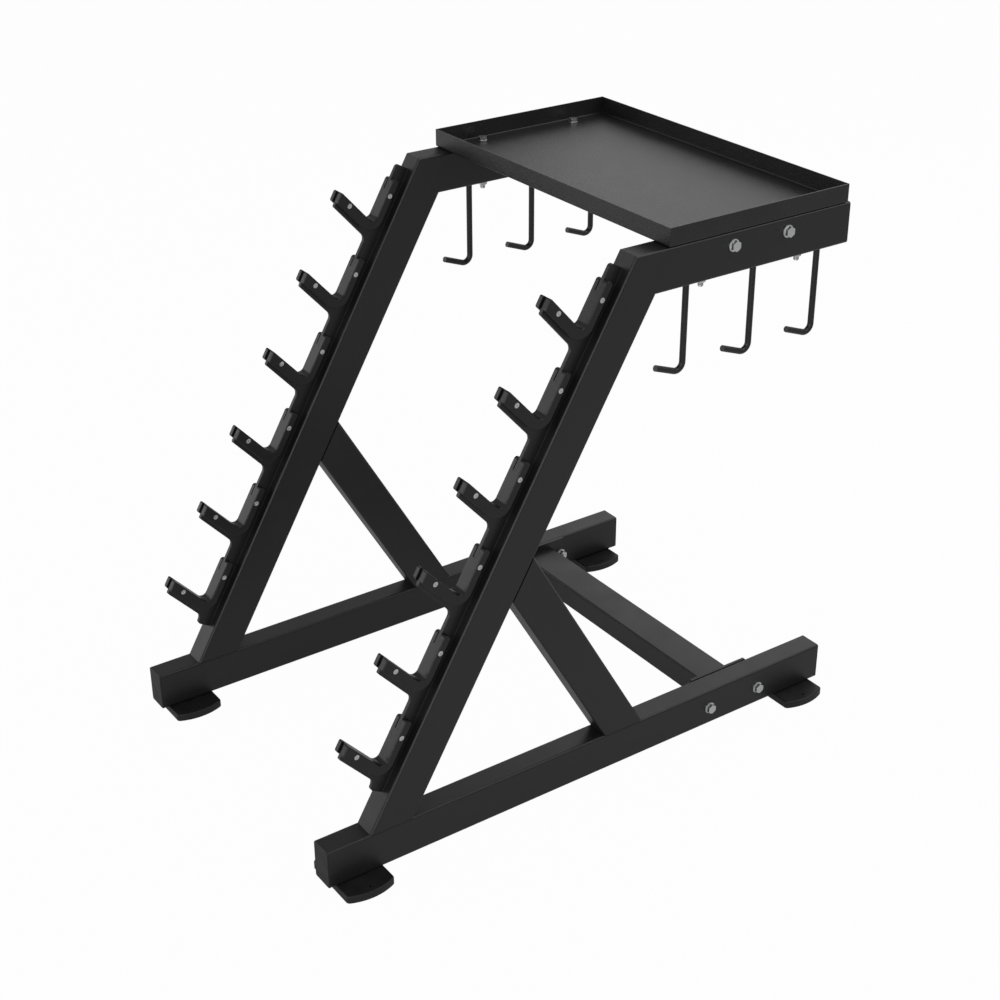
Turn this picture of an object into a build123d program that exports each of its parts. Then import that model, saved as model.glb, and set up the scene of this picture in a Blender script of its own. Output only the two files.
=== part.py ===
from build123d import *
import os
from math import cos, floor, radians, sin, tan

# Barbell rack: two welded side frames joined by bolted cross tubes, a comb plate with moulded
# cradle liners on each upright, an accessory tray on top and hooks under the top tubes.
# X runs across the rack, Y from its front to its back, Z up. The origin is on the floor,
# under the middle of the base. All lengths are in millimetres and angles in degrees.

# Rectangular steel tube of the side frames and cross tubes
tube_width = 50.0
tube_depth = 80.0
tube_wall = 3.0
tube_corner = 5.0
least_corner = 0.5

# Side frames
frame_spacing = 692.0       # between the middle planes of the two frames
base_length = 1200.0        # over its end caps
upright_setback = 90.9      # front of the base to the upright's front face, at the base's top
upright_lean = 30.3         # from vertical
frame_height = 1077.5       # floor to the upper face of the top tube
top_length = 508.4          # upper face of the top tube, over its end cap
brace_setback = 625.8       # front of the base to the brace's front face, at the base's top
brace_lean = 30.0           # from vertical

# Push-in end caps of the open tube ends
cap_flange = 3.0
cap_edge = 1.5
cap_plug = 18.0
cap_wall = 2.0
cap_clearance = 0.2

# Moulded feet under the base tubes
foot_thickness = 15.0
foot_length = 100.0         # along the base
foot_width = 124.0          # across its straight edges
foot_bulge = 12.0           # how far the rounded sides stand out past the straight edges
foot_corner = 8.0
foot_edge = 1.5
front_foot_inset = 15.5     # from the front of the base
rear_foot_inset = 20.0      # from the rear of the base
foot_hole = 8.0
foot_hole_margin = 15.0     # from the rounded side's outermost point to the middle of the hole

# Pan head screws that hold the feet from below
foot_screw = 6.0
foot_screw_head = 12.0
foot_screw_head_height = 4.5
foot_screw_sink = 9.0       # depth of the recess that hides the head
foot_screw_spacing = 60.0
foot_screw_bite = 8.0       # shank past the tube's underside
foot_screw_room = 1.0       # around the head in its recess

# Comb plates on the uprights' front faces
plate_thickness = 8.0
comb_reach = 29.5           # upright's face to the bearing line of the cradles
first_cradle = 128.5        # base to the lowest cradle's corner, along the upright's face
cradle_pitch = 170.8
cradle_angle = 72.0         # between the comb's front edge and the arm
arm_width = 30.3
arm_recess = 4.0            # tips of the plate's arm and the liner's web behind the cheeks' tips
arm_root = 14.0             # fillet between the underside of an arm and the comb's front edge
arm_tip_corner = 3.5
comb_end_corner = 7.0
comb_tail = 1.2             # straight edge below the lowest arm's fillet
comb_head = 29.5            # past the upper end of the highest liner
comb_top_room = 5.0         # least length of bare upright above the comb

# Moulded cradle liners
liner_width = 32.0
liner_back_band = 15.3      # bearing face to the outer edge of a cheek, along the comb
liner_arm_band = 22.4       # bearing face to the outer edge of a cheek, along the arm
liner_back = 98.0           # corner to the end of the leg along the comb
liner_arm = 106.2           # corner to the tip of the leg along the arm
liner_crook = 12.0          # radius of the bearing face at the corner
liner_outer_crook = 31.0    # radius of a cheek's outer edge at the corner
liner_end_corner = 6.0
liner_tip_corner = 4.0
liner_edge = 2.0
liner_web = 3.0             # thickness over the plate's edge
liner_web_back = 73.5       # corner to the end of the web along the comb
liner_fit = 0.2             # clearance between liner and plate

# Button head screws and nuts that hold the liners
liner_screw = 6.0
liner_screw_head = 10.5
liner_screw_head_height = 3.3
liner_head_sink = 3.5
liner_head_room = 0.6       # around the head in its recess
liner_nut_across = 10.0
liner_nut_height = 5.0
liner_nut_sink = 5.5
liner_nut_room = 0.2
liner_screw_back = 63.5     # corner to the screw of the back leg
liner_screw_back_below = 7.6  # screw of the back leg below the bearing face
liner_screw_arm = 72.3      # corner to the screw of the arm
liner_screw_arm_below = 8.6  # screw of the arm below the bearing face

# Cross tubes and their end flanges
flange_thickness = 6.0
flange_corner = 4.0
flange_margin = 15.0        # flange past the cross tube's upper and lower faces
flange_ear = 35.0           # flange past the cross tube's sides
lower_cross_setback = 962.0  # front of the base to the middle of the lower cross tube

# Hexagon bolts of the cross tubes
frame_bolt = 12.0
frame_bolt_across = 18.0
frame_bolt_head = 7.5
frame_bolt_offset = 25.0    # from the cross tube's side to the middle of the bolt
frame_washer = 24.0
frame_washer_thickness = 2.5
frame_nut_height = 10.0
frame_bolt_tip = 4.0

# Accessory tray
tray_depth = 427.2          # front to back
tray_height = 36.0
tray_sheet = 2.0
tray_bend = 4.0
tray_inset = 9.2            # rear of the tray in front of the top tubes' rear ends

# Hexagon bolts of the tray
tray_bolt = 10.0
tray_bolt_across = 16.0
tray_bolt_head = 6.4
tray_washer = 20.0
tray_washer_thickness = 2.0
tray_nut_height = 8.0
tray_bolt_tip = 8.0
tray_bolt_front = 34.1      # front bolts behind the front hooks
tray_bolt_rear = 51.9       # rear bolts in front of the rear hooks

# Clearances shared by all the screws and bolts
hole_clearance = 0.5        # on the radius of a through hole
thread_clearance = 0.1      # on the radius of a threaded hole
round_head_slope = 25.0     # of a round head's side, from the screw's axis

# Rod hooks under the top tubes
hook_rod = 12.0
hook_drop = 178.5           # tube's underside to the corner of the rod's middle line
hook_leg = 69.0             # corner to the tip along the middle line
hook_rise = 20.4            # leg above level
hook_bend = 15.0
hook_tip = 1.5
hook_pitch = 159.5
hook_inset = 54.4           # rearmost hook in front of the top tubes' rear ends
hook_count = 3

# Places worked out from the sizes above
sides = {"right": frame_spacing / 2, "left": -frame_spacing / 2}
base_front = -base_length / 2
base_rear = base_length / 2
base_top = foot_thickness + tube_depth
base_middle = foot_thickness + tube_depth / 2
upright_foot = base_front + upright_setback
lean_sin = sin(radians(upright_lean))
lean_cos = cos(radians(upright_lean))
upright_run = (frame_height - base_top) / lean_cos
top_front = upright_foot + (frame_height - base_top) * tan(radians(upright_lean))
top_rear = top_front + top_length
top_under = frame_height - tube_depth
top_middle = frame_height - tube_depth / 2
tray_middle = top_rear - tray_inset - tray_depth / 2
tray_width = frame_spacing + tube_width
lower_cross = base_front + lower_cross_setback
lower_cross_height = base_middle
upper_cross_height = frame_height - tube_width / 2
cross_length = frame_spacing - tube_width - 2 * flange_thickness
flange_length = tube_depth + 2 * flange_ear
frame_bolt_spacing = tube_depth + 2 * frame_bolt_offset
front_foot = base_front + front_foot_inset + foot_length / 2
rear_foot = base_rear - rear_foot_inset - foot_length / 2
arm_sin = sin(radians(cradle_angle))
arm_cos = cos(radians(cradle_angle))
cheek = (liner_width - plate_thickness) / 2 - liner_fit
comb_room = upright_run - first_cradle - liner_back - comb_head - comb_top_room
cradle_count = 1 + floor(comb_room / cradle_pitch)
cradles = [first_cradle + cradle_pitch * step for step in range(cradle_count)]
hooks = [top_rear - hook_inset - hook_pitch * (hook_count - 1 - step) for step in range(hook_count)]


# Sections and planes shared by the tubes

def tube_section(width, depth):
    """Hollow rectangular section drawn in the current sketch"""
    RectangleRounded(width, depth, tube_corner)
    bore_corner = max(tube_corner - tube_wall, least_corner)
    RectangleRounded(width - 2 * tube_wall, depth - 2 * tube_wall, bore_corner, mode=Mode.SUBTRACT)


def lean_plane(x):
    """Foot of the upright's front face, with the plane's normal up along the upright"""
    return Plane(origin=(x, upright_foot, base_top), x_dir=(1, 0, 0), z_dir=(0, lean_sin, lean_cos))


def comb_plane(x, along=0.0, out=0.0):
    """Side view of the upright's front face: first axis up along it, second axis outwards"""
    y = upright_foot + along * lean_sin - out * lean_cos
    z = base_top + along * lean_cos + out * lean_sin
    return Plane(origin=(x, y, z), x_dir=(0, lean_sin, lean_cos), z_dir=(1, 0, 0))


def cradle_plane(x, along):
    """Side view of one cradle, with its origin at the sharp corner of its bearing lines"""
    return comb_plane(x, along, comb_reach)


def mitre_plane(x):
    """Plane that halves the angle between the upright and the top tube"""
    return Plane(origin=(x, top_front, frame_height), x_dir=(1, 0, 0), z_dir=(0, lean_sin + 1, lean_cos))


def cross_plane(x, y, z):
    """Plane square to X with its first axis along Y"""
    return Plane(origin=(x, y, z), x_dir=(0, 1, 0), z_dir=(1, 0, 0))


def end_plane(x, y, z, facing):
    """Plane square to Y at a tube's end; facing is 1 towards the back and -1 towards the front"""
    return Plane(origin=(x, y, z), x_dir=(1, 0, 0), z_dir=(0, facing, 0))


def bolt_rows(y):
    """Y of the two bolts beside a cross tube"""
    return [y - frame_bolt_spacing / 2, y + frame_bolt_spacing / 2]


def tray_rows():
    """Y of the front and rear tray bolts"""
    return [hooks[0] + tray_bolt_front, hooks[-1] - tray_bolt_rear]


def foot_rows(y):
    """Y of the two screws in one foot"""
    return [y - foot_screw_spacing / 2, y + foot_screw_spacing / 2]


# Points of a cradle, seen from the side and measured from its sharp corner

def arm_point(along, below):
    """Point a distance along the arm's bearing line and a distance below it"""
    return (along * arm_cos - below * arm_sin, along * arm_sin + below * arm_cos)


def tip_point(reach, below):
    """Point a distance below the arm's bearing line, on a tip cut parallel to the comb"""
    return arm_point((reach - below * arm_cos) / arm_sin, below)


def crook_point(inset):
    """Corner between two lines a distance inside both bearing lines"""
    return arm_point(-inset * (1 + arm_cos) / arm_sin, inset)


def cheek_corner():
    """Corner between the outer edges of a cheek's two legs"""
    return arm_point(-(liner_back_band + liner_arm_band * arm_cos) / arm_sin, liner_arm_band)


def screw_points():
    """Middles of the back and front screws of one liner"""
    return [(liner_screw_back, -liner_screw_back_below), arm_point(liner_screw_arm, liner_screw_arm_below)]


# Side frame tubes

def base_tube(x):
    """Level base tube with holes for the cross tube's bolts and the feet's screws"""
    with BuildPart() as tube:
        with BuildSketch(end_plane(x, base_front + cap_flange, base_middle, 1)):
            tube_section(tube_width, tube_depth)
        extrude(amount=base_length - 2 * cap_flange)
        with BuildSketch(cross_plane(x, 0, lower_cross_height)):
            with Locations(*[(y, 0) for y in bolt_rows(lower_cross)]):
                Circle(frame_bolt / 2 + hole_clearance)
        extrude(amount=tube_width, both=True, mode=Mode.SUBTRACT)
        with BuildSketch(Plane(origin=(x, 0, foot_thickness))):
            with Locations(*[(0, y) for y in foot_rows(front_foot) + foot_rows(rear_foot)]):
                Circle(foot_screw / 2 + thread_clearance)
        extrude(amount=tube_wall, mode=Mode.SUBTRACT)
    return tube.part


def upright(x):
    """Leaning tube, cut level on the base and mitred to the top tube"""
    with BuildPart() as tube:
        with BuildSketch(lean_plane(x)):
            with Locations((0, tube_depth / 2)):
                tube_section(tube_width, tube_depth)
        extrude(amount=upright_run + tube_depth, both=True)
        split(bisect_by=Plane(origin=(x, 0, base_top), z_dir=(0, 0, 1)), keep=Keep.TOP)
        split(bisect_by=mitre_plane(x), keep=Keep.BOTTOM)
    return tube.part


def top_tube(x):
    """Level top tube with holes for the cross tube's and the tray's bolts"""
    with BuildPart() as tube:
        with BuildSketch(end_plane(x, top_rear - cap_flange, top_middle, -1)):
            tube_section(tube_width, tube_depth)
        extrude(amount=top_length)
        split(bisect_by=mitre_plane(x), keep=Keep.TOP)
        with BuildSketch(cross_plane(x, 0, upper_cross_height)):
            with Locations(*[(y, 0) for y in bolt_rows(tray_middle)]):
                Circle(frame_bolt / 2 + hole_clearance)
        extrude(amount=tube_width, both=True, mode=Mode.SUBTRACT)
        with BuildSketch(Plane(origin=(x, 0, top_middle))):
            with Locations(*[(0, y) for y in tray_rows()]):
                Circle(tray_bolt / 2 + hole_clearance)
        extrude(amount=tube_depth, both=True, mode=Mode.SUBTRACT)
    return tube.part


def brace(x):
    """Sloping tube from the base's top to the upright's rear face"""
    brace_foot = Plane(
        origin=(x, base_front + brace_setback, base_top),
        x_dir=(1, 0, 0),
        z_dir=(0, -sin(radians(brace_lean)), cos(radians(brace_lean))),
    )
    rear_face = Plane(
        origin=(x, upright_foot + tube_depth * lean_cos, base_top - tube_depth * lean_sin),
        x_dir=(1, 0, 0),
        z_dir=(0, lean_cos, -lean_sin),
    )
    with BuildPart() as tube:
        with BuildSketch(brace_foot):
            with Locations((0, tube_depth / 2)):
                tube_section(tube_width, tube_depth)
        extrude(amount=base_length, both=True)
        split(bisect_by=Plane(origin=(x, 0, base_top), z_dir=(0, 0, 1)), keep=Keep.TOP)
        split(bisect_by=rear_face, keep=Keep.TOP)
    return tube.part


def end_cap(mouth):
    """Flange over a tube's end, with a hollow plug inside the tube; the plane's normal points out"""
    plug_width = tube_width - 2 * (tube_wall + cap_clearance)
    plug_depth = tube_depth - 2 * (tube_wall + cap_clearance)
    plug_corner = max(tube_corner - tube_wall - cap_clearance, least_corner)
    with BuildPart() as cap:
        with BuildSketch(mouth):
            RectangleRounded(tube_width, tube_depth, tube_corner)
        extrude(amount=cap_flange)
        rim = cap.faces().filter_by(Axis.Y).sort_by(Axis((0, 0, 0), mouth.z_dir))[-1]
        chamfer(rim.edges(), min(cap_edge, cap_flange / 2))
        with BuildSketch(mouth):
            RectangleRounded(plug_width, plug_depth, plug_corner)
            Rectangle(plug_width - 2 * cap_wall, plug_depth - 2 * cap_wall, mode=Mode.SUBTRACT)
        extrude(amount=-cap_plug)
    return cap.part


# Feet

def foot(x, y):
    """Moulded pad with two rounded sides, a hole near each and two sunk screw holes below"""
    half_width = foot_width / 2
    half_length = foot_length / 2
    apex = half_width + foot_bulge
    with BuildPart() as pad:
        with BuildSketch(Plane(origin=(x, y, 0))) as outline:
            with BuildLine():
                Line((-half_width, -half_length), (half_width, -half_length))
                ThreePointArc((half_width, -half_length), (apex, 0), (half_width, half_length))
                Line((half_width, half_length), (-half_width, half_length))
                ThreePointArc((-half_width, half_length), (-apex, 0), (-half_width, -half_length))
            make_face()
            fillet(outline.vertices(), foot_corner)
        extrude(amount=foot_thickness)
        chamfer(pad.faces().sort_by(Axis.Z)[-1].edges(), foot_edge)
        with BuildSketch(Plane(origin=(x, y, 0))):
            with Locations((apex - foot_hole_margin, 0), (foot_hole_margin - apex, 0)):
                Circle(foot_hole / 2)
            with Locations(*[(0, row - y) for row in foot_rows(y)]):
                Circle(foot_screw / 2 + hole_clearance)
        extrude(amount=foot_thickness, mode=Mode.SUBTRACT)
        with BuildSketch(Plane(origin=(x, y, 0))):
            with Locations(*[(0, row - y) for row in foot_rows(y)]):
                Circle(foot_screw_head / 2 + foot_screw_room)
        extrude(amount=foot_screw_sink, mode=Mode.SUBTRACT)
    return pad.part


# Comb plates and liners

def comb_plate(x):
    """Flat plate with one arm for each cradle, set back where the liners cover its edge"""
    seat = liner_web + liner_fit
    web_end = liner_web_back + liner_fit
    plate_tip = liner_arm * arm_sin - arm_recess
    root_run = arm_root * tan(radians(cradle_angle / 2))
    lower_end = cradles[0] - arm_width / arm_sin - root_run - comb_tail - comb_end_corner
    upper_end = cradles[-1] + liner_back + comb_head
    corners = [(lower_end, 0), (lower_end, comb_reach)]
    radii = [0, comb_end_corner]
    arm = [
        (tip_point(0, arm_width), arm_root),
        (tip_point(plate_tip, arm_width), arm_tip_corner),
        (tip_point(plate_tip, seat), 0),
        (crook_point(seat), liner_crook + seat),
        ((web_end, -seat), 0),
        ((web_end, 0), 0),
    ]
    for along in cradles:
        for (up, out), radius in arm:
            corners.append((along + up, comb_reach + out))
            radii.append(radius)
    corners += [(upper_end, comb_reach), (upper_end, 0)]
    radii += [comb_end_corner, 0]
    holes = [(along + up, comb_reach + out) for along in cradles for up, out in screw_points()]
    with BuildPart() as plate:
        with BuildSketch(comb_plane(x)):
            with BuildLine():
                FilletPolyline(*corners, radius=radii, close=True)
            make_face()
            with Locations(*holes):
                Circle(liner_screw / 2 + hole_clearance, mode=Mode.SUBTRACT)
        extrude(amount=plate_thickness / 2, both=True)
    return plate.part


def liner(x, along):
    """Two V-shaped cheeks beside the plate, joined by a web over the plate's edge"""
    middle = cradle_plane(x, along)
    tip = liner_arm * arm_sin
    cheek_corners = [
        (0, 0),
        (liner_back, 0),
        (liner_back, -liner_back_band),
        cheek_corner(),
        tip_point(tip, liner_arm_band),
        tip_point(tip, 0),
    ]
    cheek_radii = [liner_crook, liner_end_corner, liner_end_corner]
    cheek_radii += [liner_outer_crook, liner_tip_corner, liner_tip_corner]
    web_corners = [
        (0, 0),
        (liner_web_back, 0),
        (liner_web_back, -liner_web),
        crook_point(liner_web),
        tip_point(tip - arm_recess, liner_web),
        tip_point(tip - arm_recess, 0),
    ]
    web_radii = [liner_crook, 0, 0, liner_crook + liner_web, 0, 0]
    slot = plate_thickness / 2 + liner_fit
    with BuildPart() as moulding:
        for side in (1, -1):
            with BuildSketch(middle.offset(side * slot)):
                with BuildLine():
                    FilletPolyline(*cheek_corners, radius=cheek_radii, close=True)
                make_face()
            extrude(amount=side * cheek)
        outer_faces = moulding.faces().filter_by(Axis.X).sort_by(Axis.X)
        chamfer(outer_faces[0].edges() + outer_faces[-1].edges(), liner_edge)
        with BuildSketch(middle):
            with BuildLine():
                FilletPolyline(*web_corners, radius=web_radii, close=True)
            make_face()
        extrude(amount=slot, both=True)
        with BuildSketch(middle.offset(liner_width / 2)):
            with Locations(*screw_points()):
                Circle((liner_screw_head + liner_head_room) / 2)
        extrude(amount=-liner_head_sink, mode=Mode.SUBTRACT)
        with BuildSketch(middle.offset(-liner_width / 2)):
            with Locations(*screw_points()):
                RegularPolygon((liner_nut_across + liner_nut_room) / 2, 6, major_radius=False)
        extrude(amount=liner_nut_sink, mode=Mode.SUBTRACT)
        with BuildSketch(middle):
            with Locations(*screw_points()):
                Circle(liner_screw / 2 + hole_clearance)
        extrude(amount=liner_width, both=True, mode=Mode.SUBTRACT)
    return moulding.part


# Fasteners, made as groups; each plane is a seat whose normal points away from the clamped pieces

def hex_bolts(seats, diameter, across, head, length):
    """Hexagon heads on their seats with plain shanks behind them"""
    with BuildPart() as bolts:
        with BuildSketch(*seats):
            RegularPolygon(across / 2, 6, major_radius=False)
        extrude(amount=head)
        with BuildSketch(*seats):
            Circle(diameter / 2)
        extrude(amount=-length)
    return bolts.part


def round_screws(seats, diameter, head_diameter, head, length):
    """Round heads with bevelled rims on their seats and plain shanks behind them"""
    with BuildPart() as screws:
        with BuildSketch(*seats):
            Circle(head_diameter / 2)
        extrude(amount=head, taper=round_head_slope)
        with BuildSketch(*seats):
            Circle(diameter / 2)
        extrude(amount=-length)
    return screws.part


def washers(seats, diameter, outside, thickness):
    """Plain round washers on their seats"""
    with BuildPart() as rings:
        with BuildSketch(*seats):
            Circle(outside / 2)
            Circle(diameter / 2 + hole_clearance, mode=Mode.SUBTRACT)
        extrude(amount=thickness)
    return rings.part


def hex_nuts(seats, diameter, across, height):
    """Hexagon nuts on their seats"""
    with BuildPart() as nuts:
        with BuildSketch(*seats):
            RegularPolygon(across / 2, 6, major_radius=False)
            Circle(diameter / 2 + thread_clearance, mode=Mode.SUBTRACT)
        extrude(amount=height)
    return nuts.part


# Cross tubes and flanges

def cross_tube(y, z):
    """Level tube between the flanges, lying on its wide side"""
    with BuildPart() as tube:
        with BuildSketch(cross_plane(-cross_length / 2, y, z)):
            tube_section(tube_depth, tube_width)
        extrude(amount=cross_length)
    return tube.part


def flange(x, y, lower, upper, bolt_height):
    """Plate on the inner side of a frame tube, between two heights"""
    inner = x - tube_width / 2 if x > 0 else x + tube_width / 2
    inwards = -flange_thickness if x > 0 else flange_thickness
    with BuildPart() as plate:
        with BuildSketch(cross_plane(inner, y, 0)):
            with Locations((0, (lower + upper) / 2)):
                RectangleRounded(flange_length, upper - lower, flange_corner)
            with Locations((-frame_bolt_spacing / 2, bolt_height), (frame_bolt_spacing / 2, bolt_height)):
                Circle(frame_bolt / 2 + hole_clearance, mode=Mode.SUBTRACT)
        extrude(amount=inwards)
    return plate.part


# Tray and hooks

def tray_pan():
    """Folded sheet pan with bolt holes over the top tubes"""
    with BuildPart() as pan:
        with BuildSketch(Plane.XY.offset(frame_height)):
            with Locations((0, tray_middle)):
                Rectangle(tray_width, tray_depth)
        extrude(amount=tray_height)
        fillet(pan.faces().sort_by(Axis.Z)[0].edges(), tray_bend)
        offset(amount=-tray_sheet, openings=pan.faces().sort_by(Axis.Z)[-1])
        with BuildSketch(Plane.XY.offset(frame_height)):
            with Locations(*[(x, y) for x in sides.values() for y in tray_rows()]):
                Circle(tray_bolt / 2 + hole_clearance)
        extrude(amount=tray_sheet, mode=Mode.SUBTRACT)
    return pan.part


def rod_hook(x, y):
    """Round rod that drops from the tube and turns up towards the front"""
    corner = top_under - hook_drop
    rise = radians(hook_rise)
    tip = (y - hook_leg * cos(rise), corner + hook_leg * sin(rise))
    with BuildPart() as hook:
        with BuildLine(cross_plane(x, 0, 0)) as path:
            FilletPolyline((y, top_under), (y, corner), tip, radius=hook_bend)
        with BuildSketch(Plane(origin=(x, y, top_under), z_dir=(0, 0, -1))):
            Circle(hook_rod / 2)
        sweep(path=path.line)
        chamfer(hook.faces().sort_by(Axis.Y)[0].edges(), hook_tip)
    return hook.part


# Every piece under its node's name

pieces = {}

for side, x in sides.items():
    pieces[f"base_tube_{side}"] = base_tube(x)
    pieces[f"upright_{side}"] = upright(x)
    pieces[f"top_tube_{side}"] = top_tube(x)
    pieces[f"brace_{side}"] = brace(x)
    pieces[f"base_front_cap_{side}"] = end_cap(end_plane(x, base_front + cap_flange, base_middle, -1))
    pieces[f"base_rear_cap_{side}"] = end_cap(end_plane(x, base_rear - cap_flange, base_middle, 1))
    pieces[f"top_rear_cap_{side}"] = end_cap(end_plane(x, top_rear - cap_flange, top_middle, 1))
    pieces[f"front_foot_{side}"] = foot(x, front_foot)
    pieces[f"rear_foot_{side}"] = foot(x, rear_foot)
    pieces[f"comb_plate_{side}"] = comb_plate(x)
    for number, along in enumerate(cradles, 1):
        pieces[f"liner_{side}_{number}"] = liner(x, along)
    screw_seats = []
    nut_seats = []
    for along in cradles:
        for up, out in screw_points():
            face = comb_plane(x, along + up, comb_reach + out)
            screw_seats.append(face.offset(liner_width / 2 - liner_head_sink))
            nut_face = face.offset(liner_nut_sink - liner_width / 2)
            nut_seats.append(Plane(origin=nut_face.origin, x_dir=nut_face.x_dir, z_dir=-nut_face.z_dir))
    liner_grip = liner_width - liner_head_sink - liner_nut_sink + liner_nut_height
    pieces[f"liner_screws_{side}"] = round_screws(
        screw_seats, liner_screw, liner_screw_head, liner_screw_head_height, liner_grip
    )
    pieces[f"liner_nuts_{side}"] = hex_nuts(nut_seats, liner_screw, liner_nut_across, liner_nut_height)
    for number, y in enumerate(hooks, 1):
        pieces[f"hook_{side}_{number}"] = rod_hook(x, y)

lower_flange_bottom = lower_cross_height - tube_width / 2 - flange_margin
lower_flange_top = lower_cross_height + tube_width / 2 + flange_margin
upper_flange_bottom = upper_cross_height - tube_width / 2 - flange_margin
pieces["lower_cross_tube"] = cross_tube(lower_cross, lower_cross_height)
pieces["upper_cross_tube"] = cross_tube(tray_middle, upper_cross_height)
for side, x in sides.items():
    pieces[f"lower_flange_{side}"] = flange(
        x, lower_cross, lower_flange_bottom, lower_flange_top, lower_cross_height
    )
    pieces[f"upper_flange_{side}"] = flange(
        x, tray_middle, upper_flange_bottom, frame_height, upper_cross_height
    )

head_seats = []
tail_seats = []
for x in sides.values():
    outwards = 1 if x > 0 else -1
    outer = x + outwards * tube_width / 2
    inner = x - outwards * (tube_width / 2 + flange_thickness)
    for y, z in ((lower_cross, lower_cross_height), (tray_middle, upper_cross_height)):
        for row in bolt_rows(y):
            head_seats.append(Plane(origin=(outer, row, z), x_dir=(0, 1, 0), z_dir=(outwards, 0, 0)))
            tail_seats.append(Plane(origin=(inner, row, z), x_dir=(0, 1, 0), z_dir=(-outwards, 0, 0)))
frame_grip = tube_width + flange_thickness + 2 * frame_washer_thickness + frame_nut_height + frame_bolt_tip
pieces["frame_bolts"] = hex_bolts(
    [seat.offset(frame_washer_thickness) for seat in head_seats],
    frame_bolt, frame_bolt_across, frame_bolt_head, frame_grip,
)
pieces["frame_washers"] = washers(head_seats + tail_seats, frame_bolt, frame_washer, frame_washer_thickness)
pieces["frame_nuts"] = hex_nuts(
    [seat.offset(frame_washer_thickness) for seat in tail_seats],
    frame_bolt, frame_bolt_across, frame_nut_height,
)

pieces["tray"] = tray_pan()
tray_places = [(x, y) for x in sides.values() for y in tray_rows()]
pan_seats = [Plane(origin=(x, y, frame_height + tray_sheet)) for x, y in tray_places]
under_seats = [Plane(origin=(x, y, top_under), z_dir=(0, 0, -1)) for x, y in tray_places]
tray_grip = tube_depth + tray_sheet + 2 * tray_washer_thickness + tray_nut_height + tray_bolt_tip
pieces["tray_bolts"] = hex_bolts(
    [seat.offset(tray_washer_thickness) for seat in pan_seats],
    tray_bolt, tray_bolt_across, tray_bolt_head, tray_grip,
)
pieces["tray_washers"] = washers(pan_seats + under_seats, tray_bolt, tray_washer, tray_washer_thickness)
pieces["tray_nuts"] = hex_nuts(
    [seat.offset(tray_washer_thickness) for seat in under_seats],
    tray_bolt, tray_bolt_across, tray_nut_height,
)

foot_seats = [
    Plane(origin=(x, row, foot_screw_sink), z_dir=(0, 0, -1))
    for x in sides.values()
    for middle in (front_foot, rear_foot)
    for row in foot_rows(middle)
]
foot_grip = foot_thickness - foot_screw_sink + foot_screw_bite
pieces["foot_screws"] = round_screws(
    foot_seats, foot_screw, foot_screw_head, foot_screw_head_height, foot_grip
)

os.makedirs("parts", exist_ok=True)
for name, piece in pieces.items():
    piece.label = name
    export_step(piece, f"parts/{name}.step")
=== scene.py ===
import math

import bmesh
import bpy
from mathutils import Matrix, Vector
from mathutils.geometry import tessellate_polygon


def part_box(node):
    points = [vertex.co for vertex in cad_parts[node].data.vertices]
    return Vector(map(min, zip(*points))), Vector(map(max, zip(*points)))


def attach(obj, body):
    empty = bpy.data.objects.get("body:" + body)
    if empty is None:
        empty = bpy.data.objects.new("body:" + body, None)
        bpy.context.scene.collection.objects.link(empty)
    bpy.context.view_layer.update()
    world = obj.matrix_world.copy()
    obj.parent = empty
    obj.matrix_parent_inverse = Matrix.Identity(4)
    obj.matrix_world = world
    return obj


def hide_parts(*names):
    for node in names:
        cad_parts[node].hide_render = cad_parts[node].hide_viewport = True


bl_info = {
    "name": "Barbell Rack",
    "version": (1, 0, 0),
    "blender": (4, 5, 0),
    "location": "View3D > Sidebar > Rack",
    "description": "Dresses a barbell rack: coated steel, moulded liners, tray, hooks and hardware",
    "category": "Object",
}

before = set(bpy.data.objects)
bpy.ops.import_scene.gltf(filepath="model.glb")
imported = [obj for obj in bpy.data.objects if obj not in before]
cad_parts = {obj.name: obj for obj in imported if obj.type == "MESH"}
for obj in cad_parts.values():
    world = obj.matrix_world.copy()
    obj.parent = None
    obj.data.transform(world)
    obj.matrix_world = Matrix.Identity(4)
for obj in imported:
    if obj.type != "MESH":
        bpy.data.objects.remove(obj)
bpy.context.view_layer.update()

BODY = "root"
SIDES = ("right", "left")
CRADLES = range(1, 7)
HOOKS = range(1, 4)
MILLIMETRE = 0.001
MERGE_DISTANCE = 0.01 * MILLIMETRE  # vertices as near as this are one
NUT_CUT = 50 * MILLIMETRE  # length of the cutter for a bore, more than any nut's height
SHARP_EDGE = math.radians(32)  # edges that bend by more stay crisp

# How finely round shapes are drawn
ARC_STEP = math.radians(9)
LOOP_POINTS = 24
EDGE_STEPS = 3
FOOT_ARC_STEPS = 8
RIPPLE_STEPS = 4

# Proportions of the hardware, as shares of the size that each comment names
HEXAGON_CORNER = 1 / math.sqrt(3)  # corner radius, of the width across the flats
HEAD_FLAT = 0.53  # radius where a head's cone starts, of the width across the flats
CONE_SPREAD = math.sqrt(3)  # widening of that cone, of its height
THREAD_CORE = 0.47  # core radius, of the shank's diameter
THREAD_RADIUS = 0.475  # radius of the ridge's middle line, of the shank's diameter
THREAD_RIDGE = 0.45  # radius of the ridge, of the pitch
THREAD_PITCH = 0.15  # pitch, of the shank's diameter
THREAD_LENGTH = 2.0  # threaded length, of the shank's diameter
WASHER_EDGE = 0.2  # radius of the edges, of the thickness
SCREW_CROWN = 0.14  # rise of a domed head, of its height
SOCKET_FLOOR = 0.5  # height of a socket's floor, of the head's height
RIPPLE_HEIGHT = 0.12  # swelling of a weld bead at its ripples, of its radius
TIP_BAND = 1.2  # depth of a hook's front that holds its end face, of the rod's radius

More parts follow.
